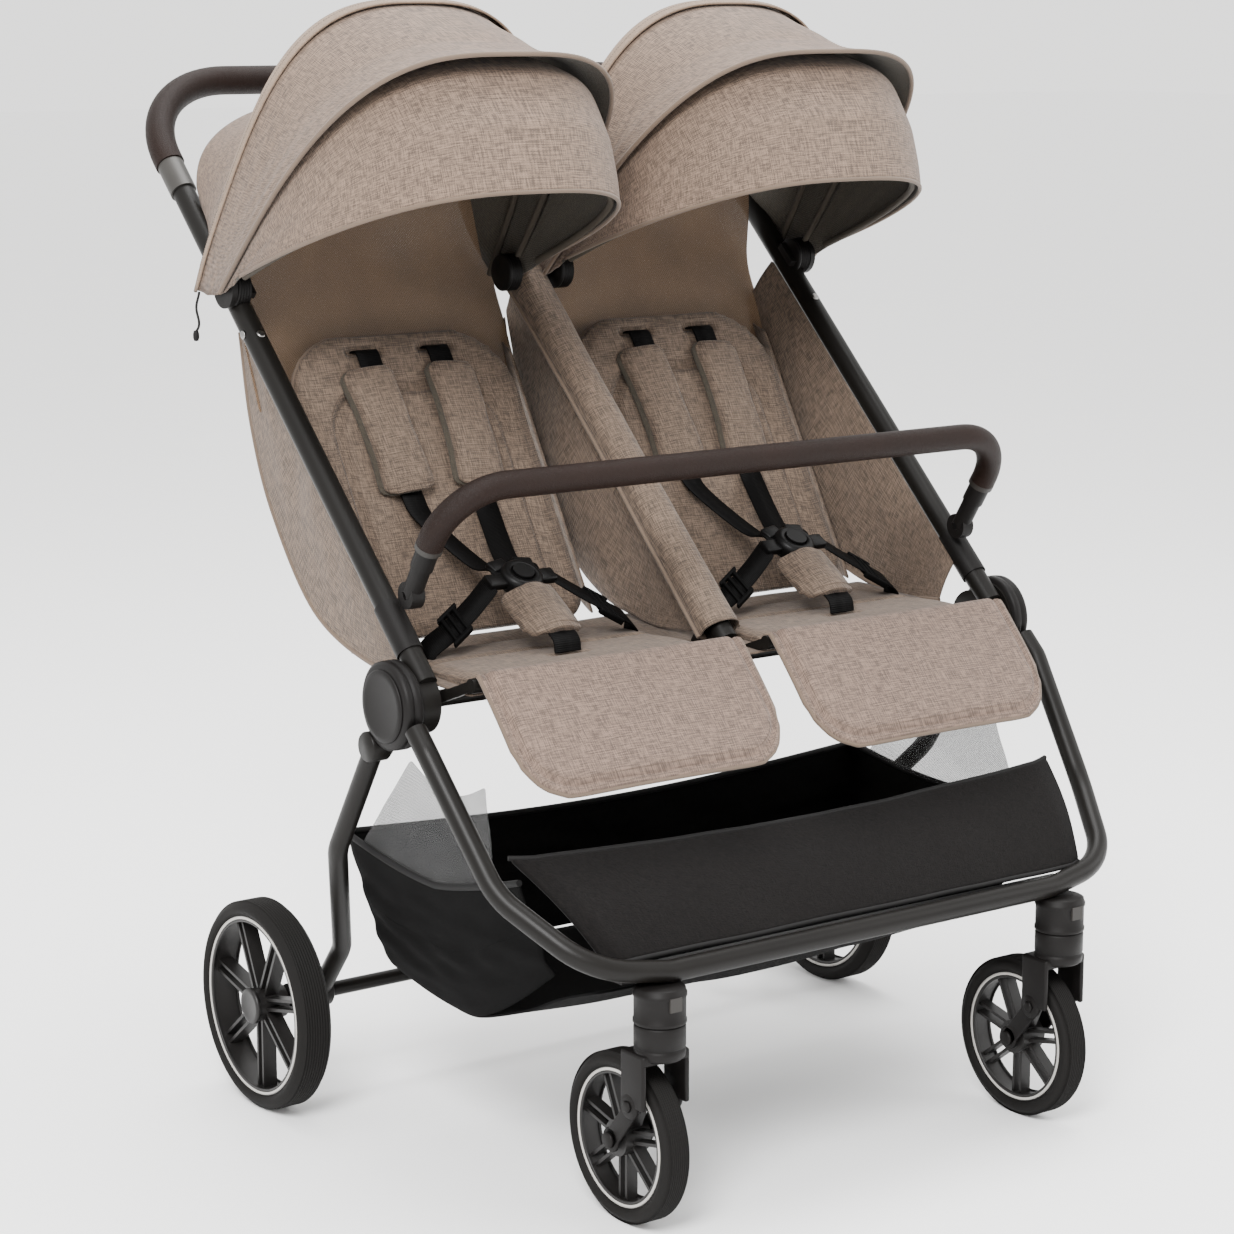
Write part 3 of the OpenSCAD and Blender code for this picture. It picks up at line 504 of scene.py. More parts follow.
# ---------- casters ----------
# Each front wheel hangs in a moulded fork below a collared post that swivels
# in the frame. A square button at the front of the post frees the wheel.
posts, crowns = {}, {}
for side, word in ((-1, "left"), (1, "right")):
    x, y = side * 0.2445, -0.3855
    socket = turned([(0, 0.2035), (0.0238, 0.2035), (0.0246, 0.2045), (0.0246, 0.207), (0.0238, 0.208), (0.0238, 0.2285), (0.0247, 0.2293),
                     (0.0247, 0.2322), (0.0238, 0.233), (0.0232, 0.2365), (0.021, 0.2377), (0, 0.2377)], (x, y, 0), "Z", 64)
    posts[word] = socket
    pivot = Vector((x, -0.3735, 0.125))
    top = turned([(0, 0.17), (0.0205, 0.17), (0.0232, 0.1725), (0.0238, 0.177), (0.0238, 0.1795), (0.0228, 0.1803), (0.0228, 0.1818), (0.0238, 0.1826),
                  (0.0238, 0.2005), (0.023, 0.2027), (0, 0.2027)], (x, y, 0), "Z", 64)
    parts = [top]
    for s in (-1, 1):
        cheek_x = x + s * 0.0241
        cheek = turned([(0, -0.0027), (0.0112, -0.0027), (0.0124, -0.0012), (0.0124, 0.0012), (0.0112, 0.0027), (0, 0.0027)], (cheek_x, pivot.y, pivot.z))
        arm = block((0.0052, 0.034, 0.051), (cheek_x, -0.3785, 0.1505), soft=0.002)
        bolt = turned([(0, s * 0.0024), (0.0058, s * 0.0024), (0.0058, s * 0.005), (0.0044, s * 0.0058), (0, s * 0.0058)], (cheek_x, pivot.y, pivot.z), "X", 6)
        parts += [cheek, arm, bolt]
    parts.append(block((0.053, 0.036, 0.0105), (x, -0.3785, 0.1718), soft=0.003))
    parts.append(turned([(0, 0.19), (0.0075, 0.19), (0.0075, 0.2275), (0.006, 0.2285), (0, 0.2285)], (x, y, 0), "Z", 32))
    fit("caster_fork_" + word, joined(*parts), hub_plastic, "caster_" + word, "hub_plastic", "fork_" + word)
    hub_front = Vector((x, -0.337, 0.081))
    reach = hub_front - pivot
    lean = Matrix.Rotation(math.atan2(reach.z, reach.y), 4, "X")
    arms = []
    for s in (-1, 1):
        sx = x + s * 0.019
        arms.append(block((0.0036, reach.length + 0.004, 0.0185), Vector((sx, 0, 0)) + (pivot + hub_front) / 2 - Vector((x, 0, 0)), lean, 0.0016))
        for at, r in ((pivot, 0.0098), (hub_front, 0.0118)):
            arms.append(turned([(0, -0.0018), (r - 0.001, -0.0018), (r, -0.0008), (r, 0.0008), (r - 0.001, 0.0018), (0, 0.0018)], (sx, at.y, at.z), "X", 40))
        arms.append(turned([(0, s * 0.001), (0.0078, s * 0.001), (0.0078, s * 0.0035), (0.006, s * 0.0045), (0, s * 0.0045)], (x + s * 0.0205, hub_front.y, hub_front.z), "X", 24))
    arms.append(turned([(0, -0.019), (0.005, -0.019), (0.005, 0.019), (0, 0.019)], hub_front, "X", 24))
    fit("caster_swing_arm_" + word, joined(*arms), hub_plastic, "swing_arm_" + word, "hub_plastic", "swing_arm_" + word)
fit("caster_posts", joined(*posts.values()), hub_plastic, "front_frame", "hub_plastic", "caster_sockets")

# ---------- basket ----------
# A big soft tray hangs between the legs: black cloth floor and walls, grey
# net windows at the sides, a bound rim, and a stiff charcoal front panel.


def woven(name, dark, light, thread_mm=0.55, streak=0.5, rough=0.86, depth=0.0005, sheen=0.08, fleck=0.85, **constants):
    """Plain-weave cloth from two-tone yarn: crossing threads, slubs along them, and a soft cloudy cast."""
    finish = Finish(name)
    where = finish.place(own_map=True)
    per = 1000 / thread_mm
    warp = finish.cloud(finish.place(own_map=True, scale=(per, per * 0.1, 1)), 1.0, 1.0)
    weft = finish.cloud(finish.place(own_map=True, scale=(per * 0.1, per, 1)), 1.0, 1.0)
    rows = finish.node("ShaderNodeTexWave", {"wave_type": "BANDS", "bands_direction": "Y"}, {"Vector": where, "Scale": 314 / thread_mm / 1.6, "Distortion": 1.2, "Detail": 1.0})
    posts = finish.node("ShaderNodeTexWave", {"wave_type": "BANDS", "bands_direction": "X"}, {"Vector": where, "Scale": 314 / thread_mm / 1.6, "Distortion": 1.2, "Detail": 1.0})
    cast = finish.cloud(where, 7.0, 3.0)
    yarn = finish.limits(warp * 0.5 + weft * 0.5, 0.5 - 0.17 / fleck * 0.5, 0.5 + 0.17 / fleck * 0.5)
    weave = rows * posts
    shade = yarn * streak + weave * (0.8 - streak) + cast * 0.2
    return finish.done(finish.between(shade, dark, light), rough - weave * 0.1, weave * 0.6 + yarn * 0.4, depth, Sheen_Weight=sheen, Sheen_Roughness=0.45, **constants)


basket_cloth = woven("basket_cloth", dye(4, 4, 4), dye(11, 10, 10), 0.6, 0.4, 0.9, sheen=0.0, Specular_IOR_Level=0.08)
black_binding = coat("black_binding", dye(8, 8, 8), dye(20, 19, 19), 0.7, 1400, 0.0002, Specular_IOR_Level=0.2)
panel_cloth = woven("panel_cloth", dye(6, 6, 6), dye(24, 21, 20), 0.7, 0.5, 0.9, sheen=0.02, Specular_IOR_Level=0.08)


def mesh_net(name, thread, pitch, share, dark, veil=0.5):
    """Open knitted net: a diamond grid of yarn with see-through holes."""
    finish = Finish(name)
    turn = finish.place(own_map=True, turn=math.radians(45))
    a = finish.node("ShaderNodeTexWave", {"wave_type": "BANDS", "bands_direction": "X"}, {"Vector": turn, "Scale": 0.314 / pitch})
    b = finish.node("ShaderNodeTexWave", {"wave_type": "BANDS", "bands_direction": "Y"}, {"Vector": turn, "Scale": 0.314 / pitch})
    yarn = finish.limits(finish.node("ShaderNodeMath", {"operation": "MAXIMUM"}, {0: a, 1: b}), 1 - share - 0.12, 1 - share + 0.12)
    cast = finish.cloud(turn, 12.0)
    return finish.done(finish.between(cast, dark, thread), 0.8, yarn, 0.0002, Alpha=yarn * 0.45 + veil)


grey_net = mesh_net("grey_net", dye(70, 70, 70), 0.0022, 0.3, dye(44, 44, 44), 0.22)


def cloth_grid(across, along, shape, cut):
    """A cloth panel: a grid whose places are set by shape(u, v), with the flat cut kept as its map."""
    bm = bmesh.new()
    bmesh.ops.create_grid(bm, x_segments=across, y_segments=along, size=0.5, calc_uvs=True)
    layer = bm.loops.layers.uv.verify()
    for face in bm.faces:
        for loop in face.loops:
            u, v = loop.vert.co.x + 0.5, loop.vert.co.y + 0.5
            loop[layer].uv = (u * cut[0], v * cut[1])
    for vert in bm.verts:
        vert.co = shape(vert.co.x + 0.5, vert.co.y + 0.5)
    return bm


def outward(panel, centre):
    """Turns a panel's faces away from a point, so that the lining comes inside."""
    bmesh.ops.recalc_face_normals(panel, faces=panel.faces)
    if sum(face.normal.dot(face.calc_center_median() - Vector(centre)) for face in panel.faces) < 0:
        bmesh.ops.reverse_faces(panel, faces=panel.faces)


def thicken(obj, wall, offset=-1.0, lining=0, rounds=1):
    """Gives a cloth panel its wall, and smooths it once."""
    if rounds:
        soft = obj.modifiers.new("soft", "SUBSURF")
        soft.levels = soft.render_levels = rounds
    wall_mod = obj.modifiers.new("wall", "SOLIDIFY")
    wall_mod.thickness, wall_mod.offset = wall, offset
    wall_mod.material_offset = lining
    wall_mod.use_even_offset = False
    return obj


def ripple(point, size, height, seed=0.0):
    return (noise.noise(Vector(point) / size + Vector((seed, seed * 0.7, -seed)))) * height


def lerp(a, b, t):
    return a + (b - a) * t


def ease(t):
    t = max(0.0, min(1.0, t))
    return t * t * (3 - 2 * t)


rim_half, floor_half = 0.3238, 0.283
back_y, mid_y, front_y = 0.031, -0.137, -0.3445


def tray(u, v):
    """A point of the basket. Round the rim u runs from the left front corner by the back to the right front one; v runs up."""
    rim_front = front_y + 0.066
    run = u * (2 * (back_y - rim_front) + 2 * rim_half)
    side_long = back_y - rim_front
    corner = 0.06
    if run < side_long:
        flat = Vector((-1, lerp(rim_front, back_y, run / side_long)))
    elif run < side_long + 2 * rim_half:
        flat = Vector((lerp(-1, 1, (run - side_long) / (2 * rim_half)), back_y))
    else:
        flat = Vector((1, lerp(back_y, rim_front, (run - side_long - 2 * rim_half) / side_long)))
    x, y = flat.x, flat.y
    rise = max(0.0, (mid_y - y) / (mid_y - rim_front))
    low = 0.166 - 0.018 * math.sin(math.pi * min(1.0, max(0.0, (back_y - y) / 0.3))) + 0.06 * rise ** 1.3
    high = 0.3 + 0.02 * rise
    sag = 0.016 * math.sin(math.pi * min(1.0, run / side_long)) if run < side_long else 0.014 * math.sin(math.pi * (run - side_long) / (2 * rim_half)) if run < side_long + 2 * rim_half else 0.016 * math.sin(math.pi * min(1.0, (run - side_long - 2 * rim_half) / side_long))
    half = lerp(floor_half, rim_half, v ** 0.8)
    depth_in = lerp(0.03, 0.0, v ** 0.7)
    px = x * half
    py = y - (depth_in if y > mid_y and abs(x) < 1.0 else 0) * ease((y - mid_y) / (back_y - mid_y))
    if y >= back_y - 1e-6:
        py = y - lerp(0.02, 0.0, v)
    bulge = math.sin(math.pi * v) * 0.008
    z = lerp(low, high - sag, v)
    point = Vector((px + (bulge if abs(x) == 1 else 0) * x * 0.3, py, z))
    wrinkle = ripple((px * 1.0, py * 1.0, z * 3.0), 0.05, 0.007, 3.0) * math.sin(math.pi * v)
    return point + Vector((x if abs(x) == 1 else 0, 1 if y >= back_y - 1e-6 else 0, 0)) * wrinkle


def tray_wall(u_from, u_to, v_from, v_to, name, finish, wall, slot="basket_cloth", nodes=()):
    long = 1.32 * (u_to - u_from)
    panel = cloth_grid(max(8, int(90 * (u_to - u_from))), 14, lambda u, v: tray(lerp(u_from, u_to, u), lerp(v_from, v_to, v)), (long, 0.13 * (v_to - v_from)))
    bmesh.ops.recalc_face_normals(panel, faces=panel.faces)
    obj = thicken(fit(name, panel, finish, "front_frame", slot, *nodes), wall, 0.0)
    return obj


def tray_floor(u, v):
    y = lerp(front_y, back_y - 0.02, v)
    rise = max(0.0, (mid_y - y) / (mid_y - front_y))
    droop = 0.018 * math.sin(math.pi * min(1.0, max(0.0, (back_y - y) / 0.3)))
    x = lerp(-floor_half, floor_half, u)
    belly = 0.010 * math.sin(math.pi * u) * math.sin(math.pi * v)
    return Vector((x, y, 0.166 - droop - belly + 0.06 * rise ** 1.3 + ripple((x, y, 0), 0.09, 0.004, 9.0)))


floor_cloth = thicken(fit("basket_floor", cloth_grid(40, 26, tray_floor, (0.57, 0.36)), basket_cloth, "front_frame", "basket_cloth", "basket"), 0.0022, 0.0)
tray_wall(0.0, 1.0, 0.0, 0.52, "basket_walls", basket_cloth, 0.0022)
tray_wall(0.0, 1.0, 0.5, 1.0, "basket_upper_walls", basket_cloth, 0.0022)
for side, word in ((-1, "left"), (1, "right")):
    def side_net(u, v, side=side):
        """Open net from the basket's rim up to the seat rail."""
        low = Vector((side * 0.3215, lerp(-0.235, 0.0, u), 0.296 - 0.012 * math.sin(math.pi * u)))
        high = Vector((side * 0.312, lerp(-0.205, -0.075, u), 0.392 - 0.02 * math.sin(math.pi * u)))
        spot = low.lerp(high, v)
        spot.x -= side * (0.010 * math.sin(math.pi * v) * math.sin(math.pi * u) + ripple(spot, 0.05, 0.004, 8.0) * math.sin(math.pi * v))
        return spot

    net = cloth_grid(24, 18, side_net, (0.235, 0.155))
    outward(net, (0, -0.12, 0.36))
    obj = thicken(fit("basket_net_" + word, net, grey_net, "front_frame", "basket_cloth"), 0.0010, 0.0, 0)
rim_path = [tray(k / 80, 1.0) for k in range(81)]
fit("basket_rim_binding", tube(rim_path, 0.0032), black_binding, "front_frame", "basket_cloth")
panel_low, panel_high = Vector((0, -0.3705, 0.26)), Vector((0, -0.277, 0.342))


def front_panel(u, v):
    half = lerp(leg_x - 0.084, leg_x - 0.044, v)
    edge = min(u, 1 - u)
    x = lerp(-half, half, u)
    sag = 0.012 * math.sin(math.pi * u) * v - 0.004 * math.sin(math.pi * v)
    spot = panel_low.lerp(panel_high, v) + Vector((x, -0.005 * math.sin(math.pi * v), -sag))
    return spot + Vector((0, ripple((x, v * 0.1, 0), 0.07, 0.003, 5.0), 0)) + Vector((0, 0.02, 0.0)) * (1 - ease(edge / 0.03)) * 0.4


charcoal = thicken(fit("basket_front_panel", cloth_grid(70, 12, front_panel, (0.62, 0.125)), panel_cloth, "front_frame", "panel_cloth", "basket_front"), 0.003, 0.0)
for v, name in ((0.0, "low"), (1.0, "high")):
    fit("basket_panel_binding_" + name, tube([front_panel(k / 60, v) for k in range(61)], 0.0024), black_binding, "front_frame", "panel_cloth")

# ---------- harness webbing ----------
# Black polyester straps from the slots in the backrest to a round five-point
# buckle, with a ladder lock on each waist strap.


def webbing(name, low, high):
    """Ribbed strap: fine cross ribs in its colour, gloss and bumps."""
    finish = Finish(name)
    ribs = finish.node("ShaderNodeTexWave", {"wave_type": "BANDS", "bands_direction": "Y"}, {"Vector": finish.place(own_map=True), "Scale": 160.0, "Distortion": 0.6})
    cloud = finish.cloud(finish.place(own_map=True), 60.0)
    return finish.done(finish.between(ribs * 0.6 + cloud * 0.4, low, high), 0.62 - ribs * 0.1, ribs, 0.0002, Specular_IOR_Level=0.06)


black_webbing = webbing("black_webbing", dye(4, 4, 4), dye(13, 12, 12))
buckle_plastic = coat("buckle_plastic", dye(6, 6, 6), dye(15, 14, 14), 0.36, 1600, 0.00007, Specular_IOR_Level=0.15)


def smooth_path(points, steps=8):
    """A soft curve through a few points."""
    pts = [Vector(p) for p in points]
    pts = [pts[0] * 2 - pts[1]] + pts + [pts[-1] * 2 - pts[-2]]
    path = []
    for i in range(1, len(pts) - 2):
        a, b, c, d = pts[i - 1 : i + 3]
        for k in range(steps):
            t = k / steps
            path.append(0.5 * (2 * b + (c - a) * t + (2 * a - 5 * b + 4 * c - d) * t * t + (3 * b - a - 3 * c + d) * t ** 3))
    return path + [pts[-2]]


def strap(path, across, w, t=0.0016):
    """A flat strap carried along a path, with its width laid across."""
    bm = bmesh.new()
    layer = bm.loops.layers.uv.verify()
    path = [Vector(p) for p in path]
    wide = [Vector(a).normalized() * w / 2 for a in (across if isinstance(across, list) else [across] * len(path))]
    verts = [bm.verts.new(path[0] - wide[0]), bm.verts.new(path[0] + wide[0])]
    edge = bm.edges.new(verts)
    far, where = 0.0, {verts[0]: (0, 0), verts[1]: (w, 0)}
    for k in range(1, len(path)):
        grown = bmesh.ops.extrude_edge_only(bm, edges=[edge])["geom"]
        far += (path[k] - path[k - 1]).length
        new = [g for g in grown if isinstance(g, bmesh.types.BMVert)]
        edge = [g for g in grown if isinstance(g, bmesh.types.BMEdge)][0]
        for vert in new:
            low = (vert.co - (path[k - 1] - wide[k - 1])).length < w / 2
            vert.co = path[k] - wide[k] if low else path[k] + wide[k]
            where[vert] = (0 if low else w, far)
    for face in bm.faces:
        for loop in face.loops:
            loop[layer].uv = where[loop.vert]
    bmesh.ops.solidify(bm, geom=bm.faces[:], thickness=t)
    bmesh.ops.recalc_face_normals(bm, faces=bm.faces)
    return bm


# ---------- seats: cloth and padding ----------
# Two padded seats in one taupe melange cloth, dyed darker on the seats than
# on the hoods and leg rests: painted shade for the shadow the hoods cast over
# the seats. Every pad is foam in a sewn cover: a flat blank swollen under air
# pressure, then pressed along its seams.
# seat cloth: the hood cloth's colours made darker, as painted shade for the hoods' shadow over the seats
seat_cloth = woven("seat_cloth", dye(46, 36, 28), dye(110, 92, 77), 1.4, 0.6)
rest_cloth = woven("rest_cloth", dye(56, 43, 36), dye(120, 99, 86), 1.4, 0.6)
lining_cloth = woven("lining_cloth", dye(34, 29, 22), dye(66, 58, 45), 0.8, 0.5)
seat_piping = coat("seat_piping", dye(70, 57, 46), dye(100, 83, 69), 0.86, 1100, 0.0003, Sheen_Weight=0.12)
stitch_thread = coat("stitch_thread", dye(60, 48, 39), dye(80, 65, 54), 0.8, 2000, 0.00004)
dark_thread = coat("dark_thread", dye(52, 42, 34), dye(66, 54, 45), 0.8, 2000, 0.00004)


def baked(obj):
    """The piece's mesh with its modifiers made part of it."""
    mesh = bpy.data.meshes.new_from_object(obj.evaluated_get(bpy.context.evaluated_depsgraph_get()))
    obj.modifiers.clear()
    obj.data = mesh
    return mesh


def blank(w, l, t, near, far, waist=0.0):
    """A flat pad blank with rounded corners: from y 0 to l, from z -t to 0."""
    bm = bmesh.new()
    bmesh.ops.create_grid(bm, x_segments=1, y_segments=1, size=0.5)
    bmesh.ops.scale(bm, vec=(w, l, 1), verts=bm.verts)
    bmesh.ops.translate(bm, vec=(0, l / 2, -t), verts=bm.verts)
    for vert in bm.verts:
        if vert.co.y < l / 2:
            vert.co.x *= 1 - waist
    for pick, radius in ((lambda v: v.co.y < l * 0.01, near), (lambda v: v.co.y > l * 0.99, far)):
        bmesh.ops.bevel(bm, geom=[v for v in bm.verts if pick(v)], offset=radius, segments=10, profile=0.5, affect="VERTICES", material=-1)
    grown = bmesh.ops.extrude_face_region(bm, geom=bm.faces[:])["geom"]
    bmesh.ops.translate(bm, vec=(0, 0, t), verts=[g for g in grown if isinstance(g, bmesh.types.BMVert)])
    bmesh.ops.recalc_face_normals(bm, faces=bm.faces)
    return bm


def places(mesh):
    co = np.empty(len(mesh.vertices) * 3)
    mesh.vertices.foreach_get("co", co)
    return co.reshape(-1, 3)


def swollen(bm, travel, voxel=0.005, pressure=4.0):
    """Skins a blank evenly, blows its cover up a little, and returns the smoothed mesh."""
    mesh = bpy.data.meshes.new("blank")
    bm.to_mesh(mesh)
    bm.free()
    obj = bpy.data.objects.new("blank", mesh)
    bpy.context.collection.objects.link(obj)
    skin = obj.modifiers.new("skin", "REMESH")
    skin.mode, skin.voxel_size = "VOXEL", voxel
    bpy.context.view_layer.update()
    baked(obj)
    start = places(obj.data)
    cover = obj.modifiers.new("cover", "CLOTH")
    cover.settings.use_pressure = True
    cover.settings.uniform_pressure_force = pressure
    cover.settings.effector_weights.gravity = 0
    for step in range(1, 21):
        bpy.context.scene.frame_set(step)
    baked(obj)
    bpy.context.scene.frame_set(1)
    moved = places(obj.data) - start
    size = np.linalg.norm(moved, axis=1)[:, None]
    moved *= np.minimum(1, travel / np.maximum(size, 1e-9))
    moved[:, 2] *= np.where(start[:, 2] + moved[:, 2] < start[:, 2].min() + 0.004, 0.25, 1.0)
    obj.data.vertices.foreach_set("co", (start + moved).ravel())
    soft = obj.modifiers.new("soft", "SUBSURF")
    soft.levels = soft.render_levels = 1
    bpy.context.view_layer.update()
    mesh = baked(obj)
    bpy.data.objects.remove(obj)
    return mesh


def pressed(mesh, lines, depth, width):
    """Sinks sewn lines into a pad's upper face."""
    co = places(mesh)
    normal = np.empty(len(co) * 3)
    mesh.vertices.foreach_get("normal", normal)
    near = np.full(len(co), 9.0)
    for line in lines:
        for a, b in zip(line, line[1:]):
            a, run = np.array(a[:2]), np.array(b[:2]) - np.array(a[:2])
            t = np.clip(((co[:, :2] - a) @ run) / max(run @ run, 1e-12), 0, 1)
            near = np.minimum(near, np.linalg.norm(co[:, :2] - a - t[:, None] * run, axis=1))
    co[:, 2] -= depth * np.exp(-((near / width) ** 2)) * (normal.reshape(-1, 3)[:, 2] > 0.1)
    mesh.vertices.foreach_set("co", co.ravel())
    return mesh


def settled(mesh, place, curl=None, flip=False):
    """Lays the cut's own map on a pad, curls it if asked, and moves it to its place."""
    mesh = mesh.copy()
    co = places(mesh)
    layer = mesh.uv_layers.get("cut") or mesh.uv_layers.new(name="cut")
    index = np.empty(len(mesh.loops), int)
    mesh.loops.foreach_get("vertex_index", index)
    flat = co[index][:, :2] + co[index][:, 2:3] * 0.7
    layer.data.foreach_set("uv", flat.ravel())
    if curl:
        co = np.array([curl(Vector(p)) for p in co])
    if flip:
        co[:, 0] *= -1
        mesh.flip_normals()
    mesh.vertices.foreach_set("co", co.ravel())
    mesh.transform(place)
    return mesh


def hugging(path, mesh, lift=0.0):
    """A path drawn onto a mesh, so that piping sits half sunk in the edge it trims."""
    tree = BVHTree.FromPolygons([v.co.copy() for v in mesh.vertices], [p.vertices[:] for p in mesh.polygons])
    found = [tree.find_nearest(p) for p in path]
    spots = [spot + up * lift for spot, up, _, _ in found]
    return [(a + b * 2 + c) / 4 for a, b, c in zip(spots, spots[1:], spots[2:])]


def at(place, points):
    return [place @ Vector(p) for p in points]


def round_line(w, near_y, far_y, radius, closed=False):
    """A sewn line up one side of a pad, round its top and down the other side."""
    path = bent([((-w / 2, near_y, 0), 0), ((-w / 2, far_y, 0), radius), ((w / 2, far_y, 0), radius), ((w / 2, near_y, 0), 0)], 8)
    return path + [path[0]] if closed else path


def fine(path, step=0.004):
    """The same path with a point every few millimetres."""
    out = []
    for a, b in zip(path, path[1:]):
        n = max(1, int((b - a).length / step))
        out += [a.lerp(b, k / n) for k in range(n)]
    return out + [path[-1]]


seat_x = 0.170
bight = Vector((0, hub.y + 0.148, hub.z + 0.012))
back_turn = Matrix.Rotation(math.radians(59.5), 4, "X")
insert_line = round_line(0.196, 0.012, 0.268, 0.05)
side_lines = [[Vector((s * 0.098, 0.012, 0)), Vector((s * 0.128, 0.002, 0))] for s in (-1, 1)]
slots = [[Vector((s * 0.042 - 0.016, 0.312, 0)), Vector((s * 0.042 + 0.016, 0.312, 0))] for s in (-1, 1)]
back_blank = swollen(blank(0.276, 0.338, 0.011, 0.03, 0.078, 0.02), 0.006)
pressed(back_blank, [insert_line] + slots, 0.0085, 0.0055)
pressed(back_blank, [[Vector((-0.055, 0.02, 0)), Vector((-0.05, 0.15, 0))], [Vector((0.055, 0.02, 0)), Vector((0.05, 0.15, 0))]], 0.002, 0.02)
pad_blank = swollen(blank(0.280, 0.176, 0.010, 0.02, 0.02), 0.005)
pressed(pad_blank, [[Vector((-0.13, 0.1, 0)), Vector((0.13, 0.1, 0))], [Vector((-0.02, 0.055, 0)), Vector((0.02, 0.055, 0))]], 0.003, 0.004)
shoulder_blank = swollen(blank(0.060, 0.142, 0.006, 0.012, 0.014), 0.0028, 0.0035)
crotch_blank = swollen(blank(0.070, 0.070, 0.007, 0.016, 0.012, 0.12), 0.004, 0.0035)
rest_line = round_line(0.284, 0.002, 0.134, 0.046)
rest_blank = swollen(blank(0.306, 0.148, 0.006, 0.004, 0.058), 0.0032, 0.0045)
pressed(rest_blank, [rest_line], 0.0042, 0.0036)
rest_turn = Matrix.Rotation(math.radians(50), 4, "X")
seat_front = Vector((0, hub.y - 0.058, hub.z + 0.022))


def over_tube(p):
    """Curls the top of a leg rest back over the seat's front tube."""
    x, along, z = p.x, p.y, p.z
    bow = 0.006 * (1 - (x / 0.155) ** 2)
    z = z + 0.0125 + bow * min(1.0, max(0.0, along) / 0.12) + 0.004 * math.sin(max(0.0, along) * 18)
    if along >= 0.012:
        return Vector((x, -(along - 0.012), z))
    a = (0.012 - along) / 0.016
    return Vector((x, math.sin(a) * (z + 0.002), (z + 0.002) * math.cos(a) - 0.002))


